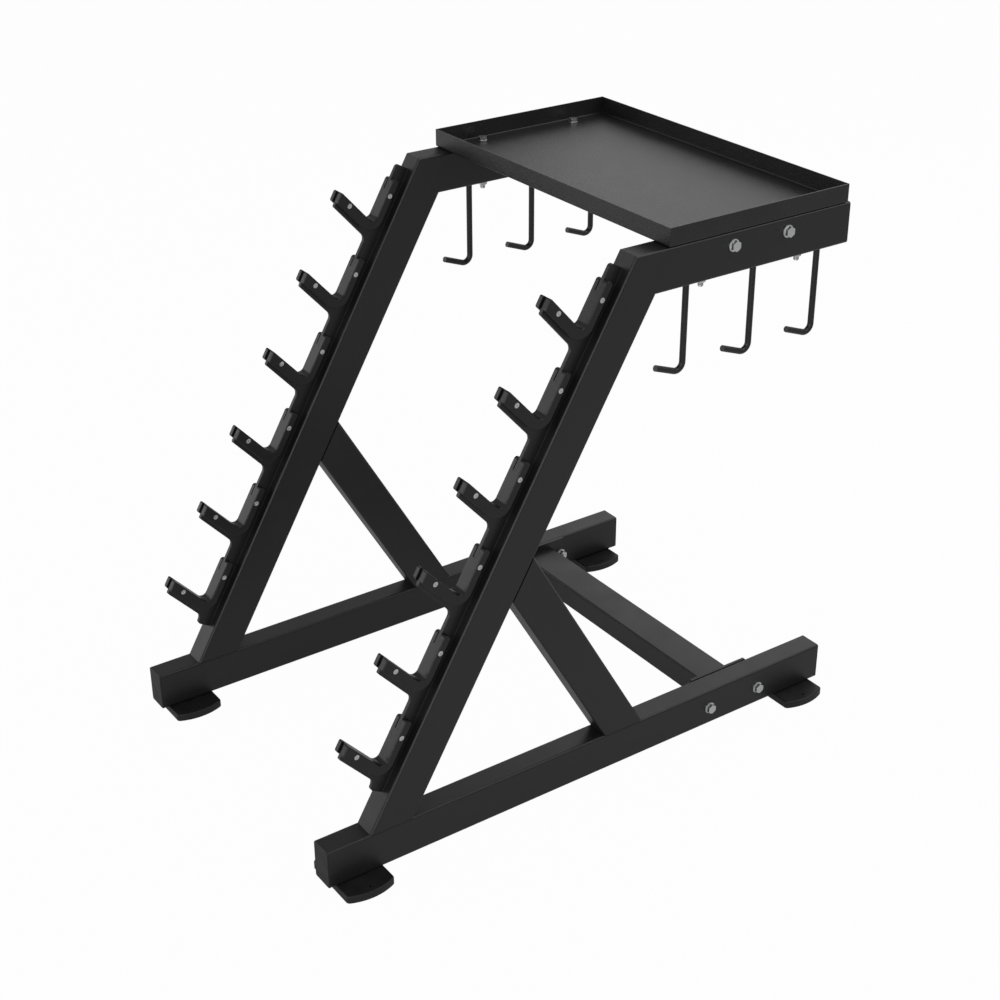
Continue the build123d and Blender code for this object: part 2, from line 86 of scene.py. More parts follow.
# Where most values of a noise pattern lie, and most products of two of them
NOISE_RANGE = (0.3, 0.7)
NOISE_PRODUCT_RANGE = (0.12, 0.4)

# Floor and surroundings; what rays see and mirror of them is a share of plain white
WHITE = (1.0, 1.0, 1.0, 1.0)
FLOOR_REACH = 30.0
FLOOR_ROUGHNESS = 0.9
FLOOR_SEEN = 0.98
FLOOR_MIRRORED = 0.27
STUDIO_LIGHT = 0.3
STUDIO_SEEN = 1.0
STUDIO_MIRRORED = 0.1

# Lamps, in metres and watts
LAMP_TARGET = Vector((0, 0, 0.5))
SOFT_BOXES = {
    "overhead_softbox": {"place": Vector((1.0, 1.7, 3.3)), "size": 3.4, "power": 45.0},
    "rear_softbox": {"place": Vector((-2.2, 3.2, 2.2)), "size": 2.8, "power": 18.0},
    "left_softbox": {"place": Vector((-3.0, -2.8, 1.2)), "size": 2.6, "power": 30.0},
    "right_softbox": {"place": Vector((2.8, -3.4, 1.7)), "size": 3.0, "power": 62.0},
}

# Camera, placed in metres, with its sensor and lens in millimetres
CAMERA_PLACE = Vector((2.5844, -1.7578, 2.1244))
CAMERA_TARGET = Vector((0, 0.03484, 0.45483))
CAMERA_ROLL = math.radians(-0.223)
CAMERA_FAR = 100.0
CAMERA_SENSOR = 36.0
CAMERA_LENS = 63.486


# Values that a user may change

def linear(hex_code):
    """Linear colour of an sRGB hex value"""
    channels = [int(hex_code[place:place + 2], 16) / 255 for place in (0, 2, 4)]
    return [c / 12.92 if c <= 0.04045 else ((c + 0.055) / 1.055) ** 2.4 for c in channels]


def length(name, description, millimetres):
    """Property that holds a length"""
    return bpy.props.FloatProperty(
        name=name, description=description, default=millimetres * MILLIMETRE, unit="LENGTH", precision=5
    )


def angle(name, description, degrees):
    """Property that holds an angle"""
    return bpy.props.FloatProperty(
        name=name, description=description, default=math.radians(degrees), subtype="ANGLE"
    )


def colour(name, description, hex_code):
    """Property that holds a colour, written in sRGB"""
    return bpy.props.FloatVectorProperty(
        name=name, description=description, default=linear(hex_code), size=3, subtype="COLOR", min=0, max=1
    )


class RackLinerSizes(bpy.types.PropertyGroup):
    """Sizes of the moulded cradle liners and of the comb plates under them"""
    cradle_angle: angle("Cradle angle", "Between the two legs of a liner", 72.0)
    back_band: length("Back band", "Bearing face to the outer edge of a cheek, along the comb", 15.3)
    arm_band: length("Arm band", "Bearing face to the outer edge of a cheek, along the arm", 22.4)
    back: length("Back leg", "Corner to the end of the leg along the comb", 98.0)
    arm: length("Arm leg", "Corner to the tip of the leg along the arm", 106.2)
    crook: length("Crook", "Radius of the bearing face at the corner", 12.0)
    outer_crook: length("Outer crook", "Radius of a cheek's outer edge at the corner", 31.0)
    end_corner: length("End corner", "Radius at the end of the back leg", 6.0)
    tip_corner: length("Tip corner", "Radius at the lower end of the arm's tip", 4.0)
    tip_lip: length("Tip lip", "Radius at the upper end of the arm's tip", 3.0)
    edge: length("Edge", "Radius of the moulded edges", 2.0)
    web: length("Web", "Thickness over the plate's edge", 3.0)
    web_back: length("Web on the back leg", "Corner to the end of the web along the comb", 73.5)
    slot: length("Slot", "Gap between the cheeks, without the play", 8.4)
    slot_play: length("Slot play", "Spare room between the plate and the cheek with the nuts", 1.8)
    screw_back: length("Back screw", "Corner to the screw of the back leg", 63.5)
    screw_back_below: length("Back screw depth", "Screw of the back leg below the bearing face", 7.6)
    screw_arm: length("Arm screw", "Corner to the screw of the arm", 72.3)
    screw_arm_below: length("Arm screw depth", "Screw of the arm below the bearing face", 8.6)
    bore: length("Bore", "Diameter of the screw holes", 7.0)
    recess: length("Recess", "Diameter of the recess round a screw head", 11.1)
    recess_depth: length("Recess depth", "Depth of the recess round a screw head", 3.5)
    pocket: length("Pocket", "Width across the flats of a nut pocket", 10.2)
    pocket_depth: length("Pocket depth", "Depth of a nut pocket", 5.5)
    plate: length("Plate", "Thickness of the comb plate", 8.0)
    plate_edge: length("Plate edge", "Radius of the plate's coated edges", 0.7)
    arm_width: length("Arm width", "Bearing face to the underside of the plate's arm", 30.3)
    arm_recess: length("Arm recess", "Tips of the plate's arm and the web behind the cheeks' tips", 4.0)
    arm_root: length("Arm root", "Fillet between an arm and the comb's front edge", 14.0)
    arm_tip_corner: length("Arm tip corner", "Radius at the tip of the plate's arm", 3.5)
    comb_corner: length("Comb corner", "Radius at the ends of the comb's front edge", 7.0)
    fit: length("Fit", "Clearance between liner and plate", 0.2)


class RackPartSizes(bpy.types.PropertyGroup):
    """Sizes of the feet, hooks, welds and hardware"""
    foot_length: length("Foot length", "Foot along the base", 100.0)
    foot_width: length("Foot width", "Foot across its straight edges", 124.0)
    foot_corner: length("Foot corner", "Radius of the foot's corners", 8.0)
    foot_edge: length("Foot edge", "Radius of the foot's upper edge", 2.5)
    foot_hole: length("Foot hole", "Diameter of the holes near the rounded sides", 5.0)
    foot_hole_margin: length("Foot hole margin", "Rounded side to the middle of the hole", 15.0)
    foot_screw_bore: length("Foot screw bore", "Diameter of the screw holes through a foot", 7.0)
    foot_screw_recess: length("Foot screw recess", "Diameter of the recess round a screw head", 14.0)
    foot_screw_sink: length("Foot screw sink", "Depth of the recess round a screw head", 9.0)
    rod: length("Hook rod", "Diameter of the hooks' rod", 12.0)
    rod_bend: length("Hook bend", "Radius of the rod's middle line at the bend", 15.0)
    rod_rise: angle("Hook rise", "Leg of a hook above level", 20.4)
    weld: length("Weld", "Radius of the weld beads", 1.0)
    weld_pitch: length("Weld pitch", "Distance between the ripples of a bead", 4.0)
    frame_head: length("Frame bolt head", "Height of the frame bolts' heads", 7.5)
    frame_across: length("Frame bolt flats", "Width across the flats of the frame bolts", 18.0)
    frame_shank: length("Frame bolt shank", "Diameter of the frame bolts", 12.0)
    tray_head: length("Tray bolt head", "Height of the tray bolts' heads", 6.4)
    tray_across: length("Tray bolt flats", "Width across the flats of the tray bolts", 16.0)
    tray_shank: length("Tray bolt shank", "Diameter of the tray bolts", 10.0)
    button_head: length("Button head", "Height of the liner screws' heads", 3.3)
    button_socket: length("Button socket", "Width across the flats of the liner screws' sockets", 4.0)
    small_shank: length("Screw shank", "Diameter of the liner and foot screws", 6.0)
    pan_head: length("Pan head", "Height of the foot screws' heads", 4.5)
    pan_socket: length("Pan socket", "Width across the flats of the foot screws' sockets", 4.0)


class RackColours(bpy.types.PropertyGroup):
    """Colours of the finishes"""
    coat: colour("Powder coat", "Satin black coat of the tubes, plates and hooks", "141415")
    tray: colour("Tray coat", "Textured black coat of the tray", "1b1b1c")
    liner: colour("Liner polymer", "Moulded polymer of the cradle liners", "181819")
    cap: colour("Cap plastic", "Moulded plastic of the end caps", "121213")
    rubber: colour("Rubber", "Moulded rubber of the feet", "0d0d0d")
    zinc: colour("Zinc", "Bright zinc plating of the hardware", "e2e3e4")
    floor: colour("Floor", "Pale studio floor", "b0b0b0")


# Nodes and materials

def add_node(tree, kind, inputs=None, **settings):
    """New node with its settings; an input is set to a value, or linked to a socket, to a node's first
    output or to several of these in a list"""
    node = tree.nodes.new(kind)
    for key, value in settings.items():
        setattr(node, key, value)
    for key, value in (inputs or {}).items():
        for source in value if isinstance(value, list) else [value]:
            if isinstance(source, bpy.types.Node):
                source = source.outputs[0]
            if isinstance(source, bpy.types.NodeSocket):
                tree.links.new(source, node.inputs[key])
            else:
                node.inputs[key].default_value = source
    return node


def per_metre(millimetres):
    """Texture scale of a pattern with features of this size"""
    return 1 / (millimetres * MILLIMETRE)


def start_material(name):
    """New material with an empty node tree"""
    material = bpy.data.materials.new(name)
    material.use_nodes = True
    material.node_tree.nodes.clear()
    return material, material.node_tree


def toned(base, factor=1.0):
    """Colour for a node, made lighter or darker by a factor"""
    return (*[min(1.0, channel * factor) for channel in base], 1.0)


def grained(name, base, lift, grain, depth, cloud, rough, rough_span, specular):
    """Dark finish with a fine raised grain, soft clouds of tone up to a lift times as light, and an uneven
    gloss; the grain, its depth and the clouds are in millimetres"""
    material, tree = start_material(name)
    place = add_node(tree, "ShaderNodeTexCoord").outputs["Object"]
    fine = add_node(
        tree,
        "ShaderNodeTexNoise",
        {"Vector": place, "Scale": per_metre(grain), "Detail": 3.0, "Roughness": 0.6},
    )
    broad = add_node(
        tree,
        "ShaderNodeTexNoise",
        {"Vector": place, "Scale": per_metre(cloud), "Detail": 4.0, "Roughness": 0.55},
    )
    product = add_node(tree, "ShaderNodeMath", {0: fine, 1: broad}, operation="MULTIPLY")
    low, high = NOISE_PRODUCT_RANGE
    spread = add_node(tree, "ShaderNodeMapRange", {"Value": product, "From Min": low, "From Max": high})
    # A mix node has its colours at inputs 6 and 7 and at output 2
    tone = add_node(
        tree, "ShaderNodeMix", {0: spread, 6: toned(base), 7: toned(base, lift)}, data_type="RGBA"
    )
    low, high = NOISE_RANGE
    gloss = add_node(
        tree,
        "ShaderNodeMapRange",
        {
            "Value": broad,
            "From Min": low,
            "From Max": high,
            "To Min": rough - rough_span,
            "To Max": rough + rough_span,
        },
    )
    raised = add_node(
        tree, "ShaderNodeBump", {"Height": fine, "Strength": 0.5, "Distance": depth * MILLIMETRE}
    )
    shader = add_node(
        tree,
        "ShaderNodeBsdfPrincipled",
        {
            "Base Color": tone.outputs[2],
            "Roughness": gloss,
            "Normal": raised,
            "Specular IOR Level": specular,
        },
    )
    add_node(tree, "ShaderNodeOutputMaterial", {"Surface": shader})
    return material


def satin_powder_coat(colours):
    """Baked polyester powder on steel: the melted grains leave an orange peel about 1 mm across, so
    broad reflections stay soft. The peel is drawn at 2 mm, because a finer one would not show."""
    return grained(
        "Satin black powder coat", colours.coat, lift=1.5, grain=2.0, depth=0.10, cloud=90.0,
        rough=0.40, rough_span=0.05, specular=0.5,
    )


def textured_powder_coat(colours):
    """Sand-textured powder on the tray's sheet: coarse grains that scatter the light, so the floor
    looks paler than the tubes and slightly speckled. The grains are drawn at 4 mm to show."""
    return grained(
        "Textured black powder coat", colours.tray, lift=1.7, grain=4.0, depth=1.20, cloud=60.0,
        rough=0.36, rough_span=0.01, specular=0.44,
    )


def moulded_polymer(colours):
    """Injection moulded polymer with a spark-eroded grain of about 0.5 mm, drawn at 1.2 mm: a dry,
    even sheen that shows most on the rounded edges"""
    return grained(
        "Moulded liner polymer", colours.liner, lift=1.45, grain=1.2, depth=0.06, cloud=30.0,
        rough=0.32, rough_span=0.03, specular=0.38,
    )


def moulded_plastic(colours):
    """Polyethylene end cap: a waxy moulded surface with faint flow marks. The mould's fine grain is drawn
    at 1.5 mm to show."""
    return grained(
        "Moulded cap plastic", colours.cap, lift=1.5, grain=1.5, depth=0.06, cloud=22.0,
        rough=0.5, rough_span=0.06, specular=0.4,
    )


def moulded_rubber(colours):
    """Black rubber with a bloom of fine dust: dull, with a slightly paler skin. The dust is drawn at
    1.8 mm to show."""
    return grained(
        "Moulded rubber", colours.rubber, lift=1.8, grain=1.8, depth=0.12, cloud=25.0,
        rough=0.5, rough_span=0.06, specular=0.45,
    )


def zinc_plate(colours):
    """Bright zinc on steel: a silvery metal whose crystals vary the gloss in small patches, under a haze
    of slightly darker clouds. The crystals are drawn at 2.2 mm, because finer ones would not show."""
    crystal = 2.2
    haze_cloud = 6.0
    haze_tone = 0.78
    material, tree = start_material("Bright zinc plate")
    place = add_node(tree, "ShaderNodeTexCoord").outputs["Object"]
    crystals = add_node(
        tree, "ShaderNodeTexVoronoi", {"Vector": place, "Scale": per_metre(crystal)}, feature="SMOOTH_F1"
    )
    haze = add_node(
        tree, "ShaderNodeTexNoise", {"Vector": place, "Scale": per_metre(haze_cloud), "Detail": 4.0}
    )
    tone = add_node(
        tree,
        "ShaderNodeMix",
        {0: haze, 6: toned(colours.zinc, haze_tone), 7: toned(colours.zinc)},
        data_type="RGBA",
    )
    gloss = add_node(
        tree,
        "ShaderNodeMapRange",
        {"Value": crystals, "From Min": 0.0, "From Max": 0.7, "To Min": 0.22, "To Max": 0.36},
    )
    shader = add_node(
        tree,
        "ShaderNodeBsdfPrincipled",
        {"Base Color": tone.outputs[2], "Roughness": gloss, "Metallic": 1.0},
    )
    add_node(tree, "ShaderNodeOutputMaterial", {"Surface": shader})
    return material


FINISHES = {
    "frame_steel": satin_powder_coat,
    "tray_steel": textured_powder_coat,
    "liner_polymer": moulded_polymer,
    "cap_plastic": moulded_plastic,
    "foot_rubber": moulded_rubber,
    "zinc_hardware": zinc_plate,
}
made_finishes = {}


def finish_of(slot):
    """Material of one of the record's slots, made once"""
    if slot not in made_finishes:
        made_finishes[slot] = FINISHES[slot](bpy.context.scene.rack_colours)
    return made_finishes[slot]


def coat_node(node, slot):
    """Gives a piece that stays as it was constructed its finish"""
    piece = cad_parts[node]
    piece.data.materials.clear()
    piece.data.materials.append(finish_of(slot))


def coat_both(names, slot):
    """Gives the right and left pieces of each name their finish"""
    for side in SIDES:
        for name in names:
            coat_node(f"{name}_{side}", slot)


# Pieces made from meshes

def new_piece(name, mesh, slot, nodes=()):
    """Object for a finished mesh, riding on the rack and standing for its construction pieces"""
    piece = bpy.data.objects.new(name, mesh)
    bpy.context.scene.collection.objects.link(piece)
    if not mesh.materials:
        mesh.materials.append(finish_of(slot))
    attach(piece, BODY)
    if nodes:
        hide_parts(*nodes)


def smooth_mesh(name, mesh):
    """Copy of a mesh whose rounded edges shade smoothly beside flat faces"""
    solid = bmesh.new()
    solid.from_mesh(mesh)
    bmesh.ops.recalc_face_normals(solid, faces=solid.faces)
    for face in solid.faces:
        face.smooth = True
    for edge in solid.edges:
        edge.smooth = len(edge.link_faces) == 2 and edge.calc_face_angle(math.pi) < SHARP_EDGE
    solid.to_mesh(mesh)
    solid.free()
    holder = bpy.data.objects.new(name, mesh)
    bpy.context.scene.collection.objects.link(holder)
    weighted = holder.modifiers.new("Weighted normals", "WEIGHTED_NORMAL")
    weighted.keep_sharp = True
    graph = bpy.context.evaluated_depsgraph_get()
    shaded = bpy.data.meshes.new_from_object(holder.evaluated_get(graph))
    bpy.data.objects.remove(holder)
    shaded.name = name
    return shaded


def rounded_outline(corners):
    """Closed outline through (along, out, radius) corners, with their arcs as short chords"""
    points = []
    for place, (along, out, radius) in enumerate(corners):
        corner = Vector((along, out))
        if radius == 0:
            points.append(corner)
            continue
        before = (Vector(corners[place - 1][:2]) - corner).normalized()
        after = (Vector(corners[(place + 1) % len(corners)][:2]) - corner).normalized()
        half = before.angle(after) / 2
        centre = corner + (before + after).normalized() * (radius / math.sin(half))
        start = corner + before * (radius / math.tan(half)) - centre
        sweep = math.pi - 2 * half
        turn = -math.copysign(sweep, before.x * after.y - before.y * after.x)
        steps = max(2, math.ceil(sweep / ARC_STEP))
        for step in range(steps + 1):
            points.append(centre + Matrix.Rotation(turn * step / steps, 2) @ start)
    return points


def inset_outline(points, distance):
    """Outline moved inwards by a distance"""
    area = sum(a.x * b.y - b.x * a.y for a, b in zip(points, points[1:] + points[:1]))
    inwards = math.copysign(1, area)
    moved = []
    for place, point in enumerate(points):
        into = (point - points[place - 1]).normalized()
        away = (points[(place + 1) % len(points)] - point).normalized()
        normal_in = Vector((-into.y, into.x)) * inwards
        normal_out = Vector((-away.y, away.x)) * inwards
        moved.append(point + (normal_in + normal_out) * (distance / (1 + normal_in.dot(normal_out))))
    return moved


def round_loop(centre, diameter):
    """Circle of points for a hole"""
    turns = [2 * math.pi * step / LOOP_POINTS for step in range(LOOP_POINTS)]
    return [Vector(centre) + Vector((math.cos(t), math.sin(t))) * (diameter / 2) for t in turns]


def hexagon_loop(centre, across):
    """Hexagon with as many points as a round loop"""
    sixth = math.pi / 3
    points = []
    for step in range(LOOP_POINTS):
        turn = 2 * math.pi * step / LOOP_POINTS
        reach = across / 2 / math.cos(turn % sixth - sixth / 2)
        points.append(Vector(centre) + Vector((math.cos(turn), math.sin(turn))) * reach)
    return points


def add_ring(solid, points, height):
    """Vertices of an outline at one height"""
    return [solid.verts.new((point.x, point.y, height)) for point in points]


def join_rings(solid, lower, upper):
    """Band of faces between two closed rings"""
    count = len(lower)
    for place in range(count):
        following = (place + 1) % count
        solid.faces.new((lower[place], lower[following], upper[following], upper[place]))


def fill_rings(solid, rings):
    """Flat face inside the first ring and outside the others"""
    vertices = [vertex for ring in rings for vertex in ring]
    for triangle in tessellate_polygon([[vertex.co for vertex in ring] for ring in rings]):
        solid.faces.new([vertices[place] for place in triangle])


def rounded_rim(solid, outline, face, edge, direction):
    """Rings of a rounded edge, from the flat face at a height back to the full outline"""
    steps = EDGE_STEPS if edge else 0
    rings = [add_ring(solid, inset_outline(outline, edge), face)]
    for step in range(1, steps + 1):
        turn = math.pi / 2 * step / steps
        inset = edge * (1 - math.sin(turn))
        drop = edge * (1 - math.cos(turn))
        rings.append(add_ring(solid, inset_outline(outline, inset), face - direction * drop))
    for outer, inner in zip(rings, rings[1:]):
        join_rings(solid, outer, inner)
    return rings


def add_hole(solid, steps):
    """Walls of a hole through (loop, height) steps; returns its first and last rings"""
    rings = [add_ring(solid, loop, height) for loop, height in steps]
    for lower, upper in zip(rings, rings[1:]):
        join_rings(solid, lower, upper)
    return rings[0], rings[-1]


def add_slab(solid, outline, low, high, low_edge, high_edge, holes):
    """Closed plate between two heights with rounded edges; each hole is a list of (loop, height) steps"""
    lower = rounded_rim(solid, outline, low, low_edge, -1)
    upper = rounded_rim(solid, outline, high, high_edge, 1)
    join_rings(solid, lower[-1], upper[-1])
    ends = [add_hole(solid, steps) for steps in holes]
    fill_rings(solid, [lower[0]] + [first for first, last in ends])
    fill_rings(solid, [upper[0]] + [last for first, last in ends])


def to_mesh(name, solid, matrix):
    """Mesh of a solid, moved to its place"""
    bmesh.ops.transform(solid, matrix=matrix, verts=solid.verts)
    mesh = bpy.data.meshes.new(name)
    solid.to_mesh(mesh)
    solid.free()
    return smooth_mesh(name, mesh)


# Cradles, measured along the comb and outwards from a cradle's sharp corner

def arm_point(sizes, along, below):
    """Point a distance along the arm's bearing line and a distance below it"""
    turn = Matrix.Rotation(sizes.cradle_angle, 2)
    return turn @ Vector((along, below))


def tip_point(sizes, reach, below):
    """Point a distance below the arm's bearing line, on a tip cut parallel to the comb"""
    sine = math.sin(sizes.cradle_angle)
    return arm_point(sizes, (reach - below * math.cos(sizes.cradle_angle)) / sine, below)


def crook_point(sizes, inset):
    """Corner between two lines a distance inside both bearing lines"""
    along = -inset * (1 + math.cos(sizes.cradle_angle)) / math.sin(sizes.cradle_angle)
    return arm_point(sizes, along, inset)


def cheek_corner(sizes):
    """Corner between the outer edges of a cheek's two legs"""
    bend = sizes.cradle_angle
    along = -(sizes.back_band + sizes.arm_band * math.cos(bend)) / math.sin(bend)
    return arm_point(sizes, along, sizes.arm_band)


def screw_points(sizes):
    """Middles of the back and front screws of one liner"""
    back = Vector((sizes.screw_back, -sizes.screw_back_below))
    return [back, arm_point(sizes, sizes.screw_arm, sizes.screw_arm_below)]


def liner_tip(sizes):
    """Reach of the cheeks' tips past the bearing line of the comb"""
    return sizes.arm * math.sin(sizes.cradle_angle)


def web_tip(sizes, below):
    """Point on the web's end at the arm, a distance below the bearing line"""
    return tip_point(sizes, liner_tip(sizes) - sizes.arm_recess, below)


def liner_outline(sizes):
    """Cheek's outline from the web's end on the back leg to its end on the arm and round the crook,
    with the place of the web's end on the arm"""
    tip = liner_tip(sizes)
    turning = web_tip(sizes, 0)
    outline = rounded_outline([
        (sizes.web_back, 0, 0),
        (sizes.back, 0, sizes.end_corner),
        (sizes.back, -sizes.back_band, sizes.end_corner),
        (*cheek_corner(sizes), sizes.outer_crook),
        (*tip_point(sizes, tip, sizes.arm_band), sizes.tip_corner),
        (*tip_point(sizes, tip, 0), sizes.tip_lip),
        (*turning, 0),
        (0, 0, sizes.crook),
    ])
    split = min(range(len(outline)), key=lambda place: (outline[place] - turning).length)
    return outline, split


def web_underside(sizes):
    """Inner line of the web from the arm to the back leg"""
    return rounded_outline([
        (*web_tip(sizes, sizes.web), 0),
        (*crook_point(sizes, sizes.web), sizes.crook + sizes.web),
        (sizes.web_back, -sizes.web, 0),
    ])


def liner_mesh(sizes, width):
    """One liner about its sharp corner: two cheeks with rounded edges, joined by a web"""
    outline, split = liner_outline(sizes)
    underside = web_underside(sizes)
    solid = bmesh.new()
    inner = {}
    under = {}
    for side in (1, -1):
        gap = side * (sizes.slot / 2 + (sizes.slot_play if side < 0 else 0))
        face = side * width / 2
        outer = rounded_rim(solid, outline, face, sizes.edge, side)
        inner[side] = add_ring(solid, outline, gap)
        under[side] = add_ring(solid, underside, gap)
        join_rings(solid, outer[-1], inner[side])
        depth = sizes.recess_depth if side > 0 else sizes.pocket_depth
        floor = face - side * depth
        ends = []
        for centre in screw_points(sizes):
            mouth = round_loop(centre, sizes.recess) if side > 0 else hexagon_loop(centre, sizes.pocket)
            bore = round_loop(centre, sizes.bore)
            ends.append(add_hole(solid, [(bore, gap), (bore, floor), (mouth, floor), (mouth, face)]))
        fill_rings(solid, [outer[0]] + [last for first, last in ends])
        cheek = inner[side][:split + 1] + under[side]
        fill_rings(solid, [cheek] + [first for first, last in ends])
    bearing = {side: inner[side][split:] + inner[side][:1] for side in (1, -1)}
    for strip in (bearing, under):
        for place in range(len(strip[1]) - 1):
            solid.faces.new((strip[1][place], strip[1][place + 1], strip[-1][place + 1], strip[-1][place]))
    for place in (0, -1):
        solid.faces.new((bearing[1][place], bearing[-1][place], under[-1][place], under[1][place]))
    return solid


def lean_matrix(lean):
    """Turns along, out and thickness into the rack's own axes"""
    up = Vector((0, math.sin(lean), math.cos(lean)))
    out = Vector((0, -math.cos(lean), math.sin(lean)))
    return Matrix((up, out, Vector((1, 0, 0)))).transposed().to_4x4()


def comb_lean():
    """Lean and spacing of the cradles, read from the two lowest liners"""
    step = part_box("liner_right_2")[0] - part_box("liner_right_1")[0]
    return math.atan2(step.y, step.z), step.length


def cradle_corner(sizes, node, lean):
    """Sharp corner of a cradle's bearing lines, from the box of its liner"""
    low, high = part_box(node)
    turned = [lean_matrix(lean) @ point.to_3d() for point in liner_outline(sizes)[0]]
    y = low.y - min(point.y for point in turned)
    z = low.z - min(point.z for point in turned)
    return Vector(((low.x + high.x) / 2, y, z))


def comb_outline(sizes, side):
    """Outline of a comb plate, measured from its lowest cradle's corner"""
    lean, pitch = comb_lean()
    corner = cradle_corner(sizes, f"liner_{side}_1", lean)
    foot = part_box(f"upright_{side}")[0]
    low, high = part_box(f"comb_plate_{side}")
    reach = (foot.y - corner.y) * math.cos(lean) - (foot.z - corner.z) * math.sin(lean)
    lower_end = (low.z - corner.z + reach * math.sin(lean)) / math.cos(lean)
    upper_end = (high.y - corner.y - reach * math.cos(lean)) / math.sin(lean)
    seat = sizes.web + sizes.fit
    web_end = sizes.web_back + sizes.fit
    tip = liner_tip(sizes) - sizes.arm_recess
    arm = [
        (tip_point(sizes, 0, sizes.arm_width), sizes.arm_root),
        (tip_point(sizes, tip, sizes.arm_width), sizes.arm_tip_corner),
        (tip_point(sizes, tip, seat), 0),
        (crook_point(sizes, seat), sizes.crook + seat),
        (Vector((web_end, -seat)), 0),
        (Vector((web_end, 0)), 0),
    ]
    corners = [(lower_end, -reach, 0), (lower_end, 0, sizes.comb_corner)]
    for number in CRADLES:
        for point, radius in arm:
            corners.append((point.x + pitch * (number - 1), point.y, radius))
    corners += [(upper_end, 0, sizes.comb_corner), (upper_end, -reach, 0)]
    return rounded_outline(corners), corner, lean, pitch


# Pieces made by geometry nodes

def start_tree(name, sizes):
    """Node tree that takes points or paths and named sizes; returns it with its input node"""
    tree = bpy.data.node_groups.new(name, "GeometryNodeTree")
    tree.interface.new_socket("Geometry", in_out="INPUT", socket_type="NodeSocketGeometry")
    for size in sizes:
        tree.interface.new_socket(size, in_out="INPUT", socket_type="NodeSocketFloat")
    tree.interface.new_socket("Geometry", in_out="OUTPUT", socket_type="NodeSocketGeometry")
    return tree, add_node(tree, "NodeGroupInput").outputs


def end_tree(tree, geometry, slot):
    """Realizes a tree's instances, gives them their finish and sends them out"""
    real = add_node(tree, "GeometryNodeRealizeInstances", {"Geometry": geometry})
    coated = add_node(tree, "GeometryNodeSetMaterial", {"Geometry": real, "Material": finish_of(slot)})
    add_node(tree, "NodeGroupOutput", {"Geometry": coated})


def move_up(tree, geometry, height):
    """Geometry moved along its axis"""
    offset = add_node(tree, "ShaderNodeCombineXYZ", {"Z": height})
    return add_node(tree, "GeometryNodeTransform", {"Geometry": geometry, "Translation": offset})


def prism(tree, sides, width, share, low, depth):
    """Upright prism whose radius is a share of a width, with its lower face at a height"""
    radius = add_node(tree, "ShaderNodeMath", {0: width, 1: share}, operation="MULTIPLY")
    body = add_node(tree, "GeometryNodeMeshCylinder", {"Vertices": sides, "Radius": radius, "Depth": depth})
    middle = add_node(tree, "ShaderNodeMath", {0: depth, 1: 0.5, 2: low}, operation="MULTIPLY_ADD")
    return move_up(tree, body, middle)


def hexagon_head(tree, across, height):
    """Hexagon with its upper corners turned to a cone"""
    flat = add_node(tree, "ShaderNodeMath", {0: across, 1: HEAD_FLAT}, operation="MULTIPLY")
    spread = add_node(tree, "ShaderNodeMath", {0: height, 1: CONE_SPREAD, 2: flat}, operation="MULTIPLY_ADD")
    block = prism(tree, sides=6, width=across, share=HEXAGON_CORNER, low=0.0, depth=height)
    cone = add_node(
        tree,
        "GeometryNodeMeshCone",
        {"Vertices": 48, "Radius Top": flat, "Radius Bottom": spread, "Depth": height},
    )
    return add_node(
        tree, "GeometryNodeMeshBoolean", {"Mesh 2": [block, cone]}, operation="INTERSECT", solver="EXACT"
    )


def thread(tree, shank, pitch, low, depth):
    """Ridge wound round a shank"""
    turns = add_node(tree, "ShaderNodeMath", {0: depth, 1: pitch}, operation="DIVIDE")
    radius = add_node(tree, "ShaderNodeMath", {0: shank, 1: THREAD_RADIUS}, operation="MULTIPLY")
    half_ridge = add_node(tree, "ShaderNodeMath", {0: pitch, 1: THREAD_RIDGE}, operation="MULTIPLY")
    helix = add_node(
        tree,
        "GeometryNodeCurveSpiral",
        {
            "Resolution": 20,
            "Rotations": turns,
            "Start Radius": radius,
            "End Radius": radius,
            "Height": depth,
        },
    )
    ridge = add_node(tree, "GeometryNodeCurvePrimitiveCircle", {"Resolution": 3, "Radius": half_ridge})
    wound = add_node(
        tree, "GeometryNodeCurveToMesh", {"Curve": helix, "Profile Curve": ridge, "Fill Caps": True}
    )
    return move_up(tree, wound, low)


def set_on_points(tree, points, shapes):
    """Places one piece of hardware on every point, with its axis along the point's facing"""
    joined = add_node(tree, "GeometryNodeJoinGeometry", {"Geometry": shapes})
    facing = add_node(tree, "GeometryNodeInputNamedAttribute", {"Name": "facing"}, data_type="FLOAT_VECTOR")
    turn = add_node(
        tree, "FunctionNodeAlignRotationToVector", {"Vector": facing.outputs["Attribute"]}, axis="Z"
    )
    placed = add_node(
        tree, "GeometryNodeInstanceOnPoints", {"Points": points, "Instance": joined, "Rotation": turn}
    )
    end_tree(tree, placed, "zinc_hardware")


def bolt_tree():
    """Hexagon bolt: head on its seat, shank behind it, thread on the shank's end"""
    tree, sizes = start_tree("Hexagon bolt", ("Across flats", "Head", "Shank", "Length", "Thread", "Pitch"))
    end = add_node(tree, "ShaderNodeMath", {0: sizes["Length"], 1: -1.0}, operation="MULTIPLY")
    head = hexagon_head(tree, sizes["Across flats"], sizes["Head"])
    shank = prism(tree, sides=32, width=sizes["Shank"], share=THREAD_CORE, low=end, depth=sizes["Length"])
    ridge = thread(tree, sizes["Shank"], sizes["Pitch"], end, sizes["Thread"])
    set_on_points(tree, sizes["Geometry"], [head, shank, ridge])
    return tree


